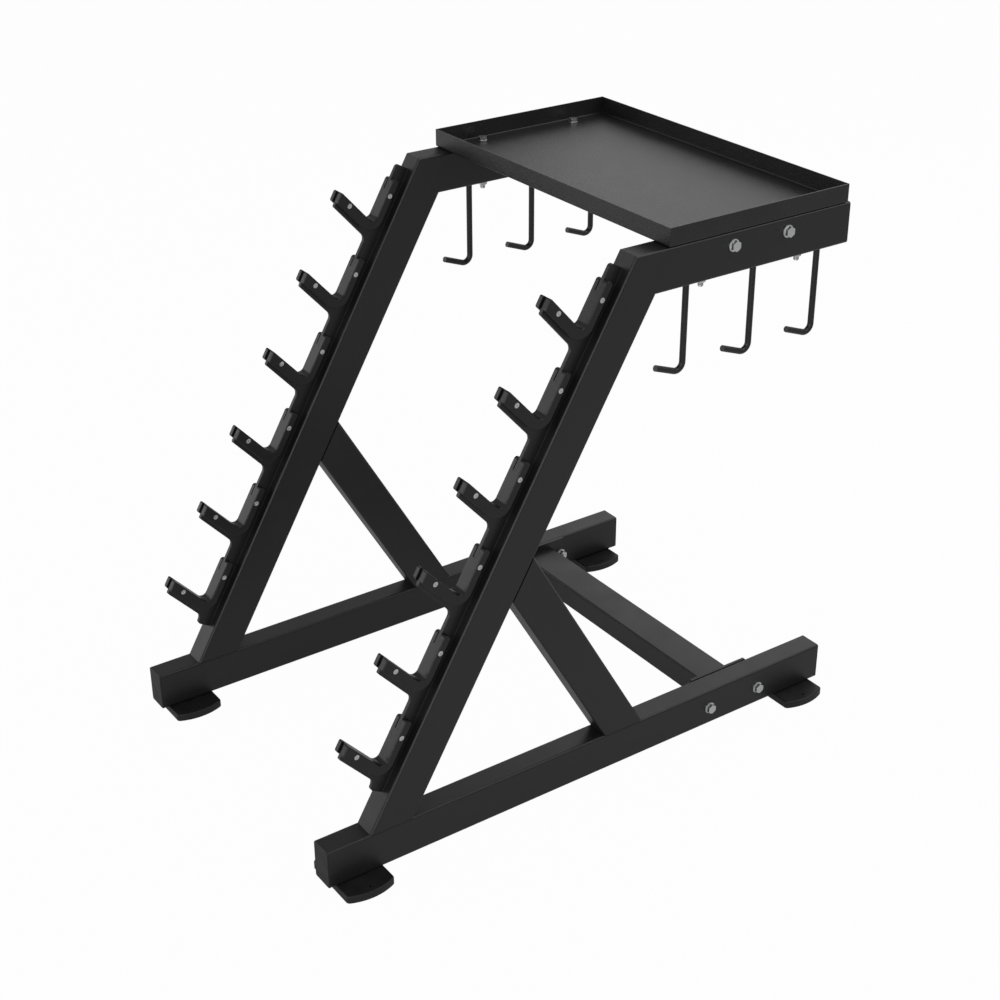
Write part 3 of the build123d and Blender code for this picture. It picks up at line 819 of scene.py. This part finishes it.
def nut_tree():
    """Hexagon nut with a plain bore"""
    tree, sizes = start_tree("Hexagon nut", ("Across flats", "Height", "Bore", "Turn"))
    body = hexagon_head(tree, sizes["Across flats"], sizes["Height"])
    bore = prism(tree, sides=32, width=sizes["Bore"], share=0.5, low=-MILLIMETRE, depth=NUT_CUT)
    nut = add_node(
        tree,
        "GeometryNodeMeshBoolean",
        {"Mesh 1": body, "Mesh 2": bore},
        operation="DIFFERENCE",
        solver="EXACT",
    )
    turn = add_node(tree, "ShaderNodeCombineXYZ", {"Z": sizes["Turn"]})
    turned = add_node(tree, "GeometryNodeTransform", {"Geometry": nut, "Rotation": turn})
    set_on_points(tree, sizes["Geometry"], [turned])
    return tree


def washer_tree():
    """Flat washer with softened edges"""
    tree, sizes = start_tree("Washer", ("Outside", "Bore", "Thickness"))
    spare = add_node(tree, "ShaderNodeMath", {0: sizes["Outside"], 1: sizes["Bore"]}, operation="SUBTRACT")
    band = add_node(tree, "ShaderNodeMath", {0: spare, 1: 0.5}, operation="MULTIPLY")
    both = add_node(tree, "ShaderNodeMath", {0: sizes["Outside"], 1: sizes["Bore"]}, operation="ADD")
    middle = add_node(tree, "ShaderNodeMath", {0: both, 1: 0.25}, operation="MULTIPLY")
    edge = add_node(tree, "ShaderNodeMath", {0: sizes["Thickness"], 1: WASHER_EDGE}, operation="MULTIPLY")
    lift = add_node(tree, "ShaderNodeMath", {0: sizes["Thickness"], 1: 0.5}, operation="MULTIPLY")
    section = add_node(
        tree, "GeometryNodeCurvePrimitiveQuadrilateral", {"Width": band, "Height": sizes["Thickness"]}
    )
    soft = add_node(
        tree, "GeometryNodeFilletCurve", {"Curve": section, "Count": 2, "Radius": edge}, mode="POLY"
    )
    circle = add_node(tree, "GeometryNodeCurvePrimitiveCircle", {"Resolution": 48, "Radius": middle})
    ring = add_node(tree, "GeometryNodeCurveToMesh", {"Curve": circle, "Profile Curve": soft})
    set_on_points(tree, sizes["Geometry"], [move_up(tree, ring, lift)])
    return tree


def button_tree():
    """Domed screw with a hexagon socket"""
    tree, sizes = start_tree("Button screw", ("Head diameter", "Head", "Dome", "Socket", "Shank", "Length"))
    centre = add_node(tree, "ShaderNodeMath", {0: sizes["Head"], 1: sizes["Dome"]}, operation="SUBTRACT")
    low = add_node(tree, "ShaderNodeMath", {0: sizes["Head"], 1: SOCKET_FLOOR}, operation="MULTIPLY")
    end = add_node(tree, "ShaderNodeMath", {0: sizes["Length"], 1: -1.0}, operation="MULTIPLY")
    block = prism(tree, sides=36, width=sizes["Head diameter"], share=0.5, low=0.0, depth=sizes["Head"])
    ball = add_node(tree, "GeometryNodeMeshUVSphere", {"Segments": 36, "Rings": 24, "Radius": sizes["Dome"]})
    dome = add_node(
        tree,
        "GeometryNodeMeshBoolean",
        {"Mesh 2": [block, move_up(tree, ball, centre)]},
        operation="INTERSECT",
        solver="EXACT",
    )
    socket = prism(tree, sides=6, width=sizes["Socket"], share=HEXAGON_CORNER, low=low, depth=sizes["Head"])
    head = add_node(
        tree,
        "GeometryNodeMeshBoolean",
        {"Mesh 1": dome, "Mesh 2": socket},
        operation="DIFFERENCE",
        solver="EXACT",
    )
    shank = prism(tree, sides=24, width=sizes["Shank"], share=0.5, low=end, depth=sizes["Length"])
    set_on_points(tree, sizes["Geometry"], [head, shank])
    return tree


def rod_tree():
    """Round rod along paths, with its corners bent to a radius"""
    tree, sizes = start_tree("Bent rod", ("Rod", "Bend"))
    radius = add_node(tree, "ShaderNodeMath", {0: sizes["Rod"], 1: 0.5}, operation="MULTIPLY")
    path = add_node(tree, "GeometryNodeMeshToCurve", {"Mesh": sizes["Geometry"]})
    bent = add_node(
        tree, "GeometryNodeFilletCurve", {"Curve": path, "Count": 12, "Radius": sizes["Bend"]}, mode="POLY"
    )
    section = add_node(tree, "GeometryNodeCurvePrimitiveCircle", {"Resolution": 24, "Radius": radius})
    rod = add_node(
        tree, "GeometryNodeCurveToMesh", {"Curve": bent, "Profile Curve": section, "Fill Caps": True}
    )
    end_tree(tree, rod, "frame_steel")
    return tree


def weld_tree():
    """Rippled bead along paths"""
    tree, sizes = start_tree("Weld bead", ("Bead", "Ripple"))
    path = add_node(tree, "GeometryNodeMeshToCurve", {"Mesh": sizes["Geometry"]})
    step = add_node(tree, "ShaderNodeMath", {0: sizes["Ripple"], 1: 1 / RIPPLE_STEPS}, operation="MULTIPLY")
    even = add_node(tree, "GeometryNodeResampleCurve", {"Curve": path, "Length": step}, mode="LENGTH")
    run = add_node(tree, "GeometryNodeSplineParameter").outputs["Length"]
    phase = add_node(tree, "ShaderNodeMath", {0: run, 1: sizes["Ripple"]}, operation="DIVIDE")
    turn = add_node(tree, "ShaderNodeMath", {0: phase, 1: 2 * math.pi}, operation="MULTIPLY")
    wave = add_node(tree, "ShaderNodeMath", {0: turn}, operation="SINE")
    swell = add_node(tree, "ShaderNodeMath", {0: wave, 1: RIPPLE_HEIGHT, 2: 1.0}, operation="MULTIPLY_ADD")
    section = add_node(tree, "GeometryNodeCurvePrimitiveCircle", {"Resolution": 8, "Radius": sizes["Bead"]})
    bead = add_node(
        tree,
        "GeometryNodeCurveToMesh",
        {"Curve": even, "Profile Curve": section, "Scale": swell, "Fill Caps": True},
    )
    end_tree(tree, bead, "frame_steel")
    return tree


def grow(name, tree, sizes, points, edges, slot, nodes=(), facings=None):
    """Piece made by a node tree on points or paths, turned into a plain mesh"""
    seed = bpy.data.meshes.new(name)
    seed.from_pydata(points, edges, [])
    if facings:
        attribute = seed.attributes.new("facing", "FLOAT_VECTOR", "POINT")
        attribute.data.foreach_set("vector", [value for facing in facings for value in facing])
    holder = bpy.data.objects.new(f"{name}_seed", seed)
    bpy.context.scene.collection.objects.link(holder)
    modifier = holder.modifiers.new("Pattern", "NODES")
    modifier.node_group = tree
    for socket in tree.interface.items_tree:
        if socket.in_out == "INPUT" and socket.name in sizes:
            modifier[socket.identifier] = sizes[socket.name]
    graph = bpy.context.evaluated_depsgraph_get()
    mesh = bpy.data.meshes.new_from_object(holder.evaluated_get(graph))
    holder.modifiers.remove(modifier)
    bpy.data.objects.remove(holder)
    if not mesh.polygons:
        raise RuntimeError(f"{name} came out empty")
    new_piece(name, smooth_mesh(name, mesh), slot, nodes)


def solid_boxes(node):
    """Lowest and highest corners of every separate solid in a construction piece"""
    solids = bmesh.new()
    solids.from_mesh(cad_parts[node].data)
    bmesh.ops.remove_doubles(solids, verts=solids.verts, dist=MERGE_DISTANCE)
    seen = set()
    boxes = []
    for start in solids.verts:
        if start in seen:
            continue
        waiting = [start]
        corners = []
        while waiting:
            vertex = waiting.pop()
            if vertex in seen:
                continue
            seen.add(vertex)
            corners.append(vertex.co)
            waiting.extend(edge.other_vert(vertex) for edge in vertex.link_edges)
        low = Vector([min(corner[axis] for corner in corners) for axis in range(3)])
        high = Vector([max(corner[axis] for corner in corners) for axis in range(3)])
        boxes.append((low, high))
    solids.free()
    return boxes


def outwards(box):
    """Direction from the rack's middle towards a solid's side frame"""
    return Vector((math.copysign(1, box[0].x + box[1].x), 0, 0))


def reach_of(box, facing):
    """Length of a solid along its axis"""
    return abs((box[1] - box[0]).dot(facing))


def seat_on(box, facing, behind):
    """Point on a solid's axis, a distance behind the end that it faces"""
    return (box[0] + box[1]) / 2 + facing * (reach_of(box, facing) / 2 - behind)


def set_hardware(name, node, tree, sizes, boxes, facings, behind):
    """Grows one kind of hardware in place of its solids, seated a distance behind the ends that they face"""
    points = [seat_on(box, facing, behind) for box, facing in zip(boxes, facings)]
    grow(name, tree, sizes, points, [], "zinc_hardware", [node], facings)


def set_bolts(group, boxes, facings, head, across, shank):
    """Hexagon bolts of one group"""
    sizes = {
        "Across flats": across,
        "Head": head,
        "Shank": shank,
        "Length": reach_of(boxes[0], facings[0]) - head,
        "Thread": shank * THREAD_LENGTH,
        "Pitch": shank * THREAD_PITCH,
    }
    set_hardware(f"{group}_hexagon_bolts", f"{group}_bolts", bolt_tree(), sizes, boxes, facings, head)


def set_washers(group, boxes, facings, shank):
    """Washers of one group"""
    thickness = reach_of(boxes[0], facings[0])
    outside = (boxes[0][1] - boxes[0][0]).y
    sizes = {"Outside": outside, "Bore": shank + MILLIMETRE, "Thickness": thickness}
    node = f"{group}_washers"
    set_hardware(f"{group}_flat_washers", node, washer_tree(), sizes, boxes, facings, thickness)


def set_nuts(group, node, boxes, facings, across, bore, turn=0.0):
    """Hexagon nuts of one group, turned about their axes"""
    height = reach_of(boxes[0], facings[0])
    sizes = {"Across flats": across, "Height": height, "Bore": bore, "Turn": turn}
    set_hardware(f"{group}_hexagon_nuts", node, nut_tree(), sizes, boxes, facings, height)


def set_buttons(name, node, boxes, facing, head, socket, shank):
    """Domed screws of one group"""
    across = (boxes[0][1] - boxes[0][0]).y
    crown = head * SCREW_CROWN
    sizes = {
        "Head diameter": across,
        "Head": head,
        "Dome": (across ** 2 / 4 + crown ** 2) / (2 * crown),
        "Socket": socket,
        "Shank": shank,
        "Length": reach_of(boxes[0], facing) - head,
    }
    set_hardware(name, node, button_tree(), sizes, boxes, [facing] * len(boxes), head)


# Operators, one for each piece or group of like pieces

class RACK_OT_frame(bpy.types.Operator):
    """Coat the tubes, braces and flanges"""
    bl_idname = "rack.frame"
    bl_label = "Frame"

    def execute(self, context):
        parts = ("base_tube", "upright", "top_tube", "brace", "lower_flange", "upper_flange")
        coat_both(parts, "frame_steel")
        for node in ("lower_cross_tube", "upper_cross_tube"):
            coat_node(node, "frame_steel")
        return {"FINISHED"}


class RACK_OT_combs(bpy.types.Operator):
    """Cut the comb plates with softened edges"""
    bl_idname = "rack.combs"
    bl_label = "Comb plates"

    def execute(self, context):
        sizes = context.scene.rack_liners
        half = sizes.plate / 2
        for side in SIDES:
            outline, corner, lean, pitch = comb_outline(sizes, side)
            holes = []
            for number in CRADLES:
                for point in screw_points(sizes):
                    loop = round_loop((point.x + pitch * (number - 1), point.y), sizes.bore)
                    holes.append([(loop, -half), (loop, half)])
            solid = bmesh.new()
            add_slab(solid, outline, -half, half, sizes.plate_edge, sizes.plate_edge, holes)
            mesh = to_mesh(f"comb_{side}", solid, Matrix.Translation(corner) @ lean_matrix(lean))
            new_piece(f"comb_{side}", mesh, "frame_steel", [f"comb_plate_{side}"])
        return {"FINISHED"}


class RACK_OT_liners(bpy.types.Operator):
    """Mould the cradle liners"""
    bl_idname = "rack.liners"
    bl_label = "Cradle liners"

    def execute(self, context):
        sizes = context.scene.rack_liners
        low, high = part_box("liner_right_1")
        lean = comb_lean()[0]
        pattern = to_mesh("cradle_liner", liner_mesh(sizes, high.x - low.x), lean_matrix(lean))
        for side in SIDES:
            for number in CRADLES:
                node = f"liner_{side}_{number}"
                mesh = pattern.copy()
                mesh.transform(Matrix.Translation(cradle_corner(sizes, node, lean)))
                new_piece(f"cradle_{node}", mesh, "liner_polymer", [node])
        return {"FINISHED"}


class RACK_OT_caps(bpy.types.Operator):
    """Finish the push-in end caps"""
    bl_idname = "rack.caps"
    bl_label = "End caps"

    def execute(self, context):
        coat_both(("base_front_cap", "base_rear_cap", "top_rear_cap"), "cap_plastic")
        return {"FINISHED"}


class RACK_OT_feet(bpy.types.Operator):
    """Mould the feet"""
    bl_idname = "rack.feet"
    bl_label = "Feet"

    def execute(self, context):
        sizes = context.scene.rack_parts
        screws = solid_boxes("foot_screws")
        for side in SIDES:
            for end in ("front", "rear"):
                self.foot(sizes, f"{end}_foot_{side}", screws)
        return {"FINISHED"}

    def foot(self, sizes, node, screws):
        """One pad with two rounded sides, a hole near each and sunk screw holes below"""
        low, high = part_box(node)
        middle = (low + high) / 2
        thickness = high.z - low.z
        apex = (high.x - low.x) / 2
        half_width = sizes.foot_width / 2
        half_length = sizes.foot_length / 2
        bulge = apex - half_width
        radius = (half_length ** 2 + bulge ** 2) / (2 * bulge)
        spread = math.asin(half_length / radius)
        corners = []
        for facing in (1, -1):
            for step in range(-FOOT_ARC_STEPS, FOOT_ARC_STEPS + 1):
                turn = spread * step / FOOT_ARC_STEPS
                along = facing * (radius * math.cos(turn) - radius + apex)
                corner = sizes.foot_corner if abs(step) == FOOT_ARC_STEPS else 0
                corners.append((along, facing * radius * math.sin(turn), corner))
        outline = rounded_outline(corners)
        holes = []
        for facing in (1, -1):
            loop = round_loop((facing * (apex - sizes.foot_hole_margin), 0), sizes.foot_hole)
            holes.append([(loop, 0), (loop, thickness)])
        for box in screws:
            place = (box[0] + box[1]) / 2 - middle
            if abs(place.x) < half_width and abs(place.y) < half_length:
                mouth = round_loop(place.xy, sizes.foot_screw_recess)
                bore = round_loop(place.xy, sizes.foot_screw_bore)
                sink = sizes.foot_screw_sink
                holes.append([(mouth, 0), (mouth, sink), (bore, sink), (bore, thickness)])
        solid = bmesh.new()
        add_slab(solid, outline, 0, thickness, 0, sizes.foot_edge, holes)
        mesh = to_mesh(f"{node}_pad", solid, Matrix.Translation((middle.x, middle.y, low.z)))
        new_piece(f"{node}_pad", mesh, "foot_rubber", [node])


class RACK_OT_tray(bpy.types.Operator):
    """Coat the accessory tray"""
    bl_idname = "rack.tray"
    bl_label = "Tray"

    def execute(self, context):
        coat_node("tray", "tray_steel")
        return {"FINISHED"}


class RACK_OT_hooks(bpy.types.Operator):
    """Bend the rod hooks"""
    bl_idname = "rack.hooks"
    bl_label = "Hooks"

    def execute(self, context):
        sizes = context.scene.rack_parts
        tree = rod_tree()
        rod = {"Rod": sizes.rod, "Bend": sizes.rod_bend}
        for side in SIDES:
            for number in HOOKS:
                node = f"hook_{side}_{number}"
                points = self.path(node, sizes.rod / 2, sizes.rod_rise)
                grow(f"rod_{node}", tree, rod, points, [(0, 1), (1, 2)], "frame_steel", [node])
        return {"FINISHED"}

    def path(self, node, half, rise):
        """Top, corner and tip of a hook's middle line, from the hook's own vertices"""
        low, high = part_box(node)
        x = (low.x + high.x) / 2
        stem = high.y - half
        front = low.y + TIP_BAND * half
        tip = [vertex.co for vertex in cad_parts[node].data.vertices if vertex.co.y < front]
        tip_y = (min(co.y for co in tip) + max(co.y for co in tip)) / 2
        tip_z = (min(co.z for co in tip) + max(co.z for co in tip)) / 2
        corner_z = tip_z - (stem - tip_y) * math.tan(rise)
        return [(x, stem, high.z), (x, stem, corner_z), (x, tip_y, tip_z)]


class RACK_OT_frame_hardware(bpy.types.Operator):
    """Set the bolts, washers and nuts of the cross tubes"""
    bl_idname = "rack.frame_hardware"
    bl_label = "Frame hardware"

    def execute(self, context):
        sizes = context.scene.rack_parts
        bolts = solid_boxes("frame_bolts")
        facings = [outwards(box) for box in bolts]
        set_bolts("frame", bolts, facings, sizes.frame_head, sizes.frame_across, sizes.frame_shank)
        rings = solid_boxes("frame_washers")
        set_washers("frame", rings, [outwards(box) for box in rings], sizes.frame_shank)
        nuts = solid_boxes("frame_nuts")
        facings = [-outwards(box) for box in nuts]
        set_nuts("frame", "frame_nuts", nuts, facings, sizes.frame_across, sizes.frame_shank)
        return {"FINISHED"}


class RACK_OT_tray_hardware(bpy.types.Operator):
    """Set the bolts, washers and nuts of the tray"""
    bl_idname = "rack.tray_hardware"
    bl_label = "Tray hardware"

    def execute(self, context):
        sizes = context.scene.rack_parts
        up = Vector((0, 0, 1))
        bolts = solid_boxes("tray_bolts")
        set_bolts("tray", bolts, [up] * len(bolts), sizes.tray_head, sizes.tray_across, sizes.tray_shank)
        rings = solid_boxes("tray_washers")
        set_washers("tray", rings, [up] * len(rings), sizes.tray_shank)
        nuts = solid_boxes("tray_nuts")
        set_nuts("tray", "tray_nuts", nuts, [-up] * len(nuts), sizes.tray_across, sizes.tray_shank)
        return {"FINISHED"}


class RACK_OT_liner_hardware(bpy.types.Operator):
    """Set the button screws and nuts of the liners"""
    bl_idname = "rack.liner_hardware"
    bl_label = "Liner hardware"

    def execute(self, context):
        sizes = context.scene.rack_parts
        liner = context.scene.rack_liners
        across = liner.pocket - liner.fit
        lean = comb_lean()[0]
        right = Vector((1, 0, 0))
        for side in SIDES:
            node = f"liner_screws_{side}"
            set_buttons(
                f"liner_button_screws_{side}", node, solid_boxes(node), right,
                sizes.button_head, sizes.button_socket, sizes.small_shank,
            )
            node = f"liner_nuts_{side}"
            nuts = solid_boxes(node)
            set_nuts(f"liner_{side}", node, nuts, [-right] * len(nuts), across, sizes.small_shank, lean)
        return {"FINISHED"}


class RACK_OT_foot_hardware(bpy.types.Operator):
    """Set the screws of the feet"""
    bl_idname = "rack.foot_hardware"
    bl_label = "Foot hardware"

    def execute(self, context):
        sizes = context.scene.rack_parts
        set_buttons(
            "foot_pan_screws", "foot_screws", solid_boxes("foot_screws"), Vector((0, 0, -1)),
            sizes.pan_head, sizes.pan_socket, sizes.small_shank,
        )
        return {"FINISHED"}


class RACK_OT_welds(bpy.types.Operator):
    """Run the weld beads of the frame"""
    bl_idname = "rack.welds"
    bl_label = "Welds"

    def execute(self, context):
        sizes = context.scene.rack_parts
        points = []
        edges = []
        for path in self.paths(context.scene.rack_liners.plate / 2):
            edges += [(len(points) + step, len(points) + step + 1) for step in range(len(path) - 1)]
            points += path
        bead = {"Bead": sizes.weld, "Ripple": sizes.weld_pitch}
        grow("weld_beads", weld_tree(), bead, points, edges, "frame_steel")
        return {"FINISHED"}

    def paths(self, half_plate):
        """Lines where plates and tubes meet"""
        lean = comb_lean()[0]
        found = []
        for side in SIDES:
            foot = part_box(f"upright_{side}")[0]
            low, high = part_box(f"comb_plate_{side}")
            middle = (low.x + high.x) / 2
            lower = (foot.y + (low.z - foot.z) * math.tan(lean), low.z)
            upper = (high.y, foot.z + (high.y - foot.y) / math.tan(lean))
            for face in (middle - half_plate, middle + half_plate):
                found.append([(face, *lower), (face, *upper)])
        return found


class RACK_OT_stage(bpy.types.Operator):
    """Set the floor, the light and the camera"""
    bl_idname = "rack.stage"
    bl_label = "Stage"

    def execute(self, context):
        self.floor(context)
        self.world(context)
        self.lamps(context)
        self.camera(context)
        context.scene.view_settings.view_transform = "Standard"
        return {"FINISHED"}

    def white_share(self, tree, seen, mirrored):
        """Share of plain white for rays that see a surface and for rays that mirror it, 0 for the rest"""
        rays = add_node(tree, "ShaderNodeLightPath").outputs
        either = add_node(
            tree,
            "ShaderNodeMath",
            {0: rays["Is Glossy Ray"], 1: rays["Is Transmission Ray"]},
            operation="MAXIMUM",
        )
        direct = add_node(tree, "ShaderNodeMath", {0: rays["Is Camera Ray"], 1: seen}, operation="MULTIPLY")
        mirror = add_node(tree, "ShaderNodeMath", {0: either, 1: mirrored}, operation="MULTIPLY")
        return add_node(tree, "ShaderNodeMath", {0: direct, 1: mirror}, operation="MAXIMUM")

    def floor(self, context):
        """Pale floor that shows nearly white and keeps a soft shadow"""
        material, tree = start_material("Pale studio floor")
        pale = add_node(
            tree,
            "ShaderNodeBsdfPrincipled",
            {"Base Color": toned(context.scene.rack_colours.floor), "Roughness": FLOOR_ROUGHNESS},
        )
        white = add_node(tree, "ShaderNodeEmission", {"Color": WHITE, "Strength": 1.0})
        share = self.white_share(tree, FLOOR_SEEN, FLOOR_MIRRORED)
        mixed = add_node(tree, "ShaderNodeMixShader", {0: share, 1: pale, 2: white})
        add_node(tree, "ShaderNodeOutputMaterial", {"Surface": mixed})
        mesh = bpy.data.meshes.new("floor")
        corners = [(-1, -1), (1, -1), (1, 1), (-1, 1)]
        mesh.from_pydata([(x * FLOOR_REACH, y * FLOOR_REACH, 0) for x, y in corners], [], [(0, 1, 2, 3)])
        mesh.materials.append(material)
        floor = bpy.data.objects.new("floor", mesh)
        context.scene.collection.objects.link(floor)

    def world(self, context):
        """White studio that shows white and lights the rack evenly"""
        world = bpy.data.worlds.new("White studio")
        world.use_nodes = True
        tree = world.node_tree
        tree.nodes.clear()
        lit = add_node(tree, "ShaderNodeBackground", {"Color": WHITE, "Strength": STUDIO_LIGHT})
        white = add_node(tree, "ShaderNodeBackground", {"Color": WHITE, "Strength": 1.0})
        share = self.white_share(tree, STUDIO_SEEN, STUDIO_MIRRORED)
        mixed = add_node(tree, "ShaderNodeMixShader", {0: share, 1: lit, 2: white})
        add_node(tree, "ShaderNodeOutputWorld", {"Surface": mixed})
        context.scene.world = world

    def lamps(self, context):
        """Square soft boxes above, behind and on both sides before the rack, two or three times its size"""
        for name, box in SOFT_BOXES.items():
            lamp = bpy.data.lights.new(name, "AREA")
            lamp.shape = "SQUARE"
            lamp.size = box["size"]
            lamp.energy = box["power"]
            holder = bpy.data.objects.new(name, lamp)
            holder.location = box["place"]
            holder.rotation_euler = (LAMP_TARGET - box["place"]).to_track_quat("-Z", "Y").to_euler()
            context.scene.collection.objects.link(holder)

    def camera(self, context):
        """Camera at the photograph's angle, for a square picture"""
        back = (CAMERA_PLACE - CAMERA_TARGET).normalized()
        right = Vector((0, 0, 1)).cross(back).normalized()
        up = back.cross(right)
        level = right * math.cos(CAMERA_ROLL) + up * math.sin(CAMERA_ROLL)
        axes = Matrix((level, back.cross(level), back)).transposed().to_4x4()
        camera = bpy.data.cameras.new("camera")
        camera.sensor_width = CAMERA_SENSOR
        camera.lens = CAMERA_LENS
        camera.clip_end = CAMERA_FAR
        holder = bpy.data.objects.new("camera", camera)
        holder.matrix_world = Matrix.Translation(CAMERA_PLACE) @ axes
        context.scene.collection.objects.link(holder)
        context.scene.camera = holder


OPERATORS = (
    RACK_OT_frame,
    RACK_OT_combs,
    RACK_OT_liners,
    RACK_OT_caps,
    RACK_OT_feet,
    RACK_OT_tray,
    RACK_OT_hooks,
    RACK_OT_frame_hardware,
    RACK_OT_tray_hardware,
    RACK_OT_liner_hardware,
    RACK_OT_foot_hardware,
    RACK_OT_welds,
    RACK_OT_stage,
)
GROUPS = {"rack_liners": RackLinerSizes, "rack_parts": RackPartSizes, "rack_colours": RackColours}


class RACK_PT_panel(bpy.types.Panel):
    """Lists the pieces of the rack and their values"""
    bl_idname = "RACK_PT_panel"
    bl_label = "Barbell Rack"
    bl_space_type = "VIEW_3D"
    bl_region_type = "UI"
    bl_category = "Rack"

    def draw(self, context):
        for operator in OPERATORS:
            self.layout.operator(operator.bl_idname)
        for name, group in GROUPS.items():
            box = self.layout.box()
            for value in group.__annotations__:
                box.prop(getattr(context.scene, name), value)


def register():
    for group in GROUPS.values():
        bpy.utils.register_class(group)
    for name, group in GROUPS.items():
        setattr(bpy.types.Scene, name, bpy.props.PointerProperty(type=group))
    for operator in OPERATORS:
        bpy.utils.register_class(operator)
    bpy.utils.register_class(RACK_PT_panel)


def unregister():
    bpy.utils.unregister_class(RACK_PT_panel)
    for operator in reversed(OPERATORS):
        bpy.utils.unregister_class(operator)
    for name, group in GROUPS.items():
        delattr(bpy.types.Scene, name)
        bpy.utils.unregister_class(group)


def main():
    """Makes every piece and the stage"""
    register()
    for operator in OPERATORS:
        family, piece = operator.bl_idname.split(".")
        getattr(getattr(bpy.ops, family), piece)()


if __name__ == "__main__":
    main()
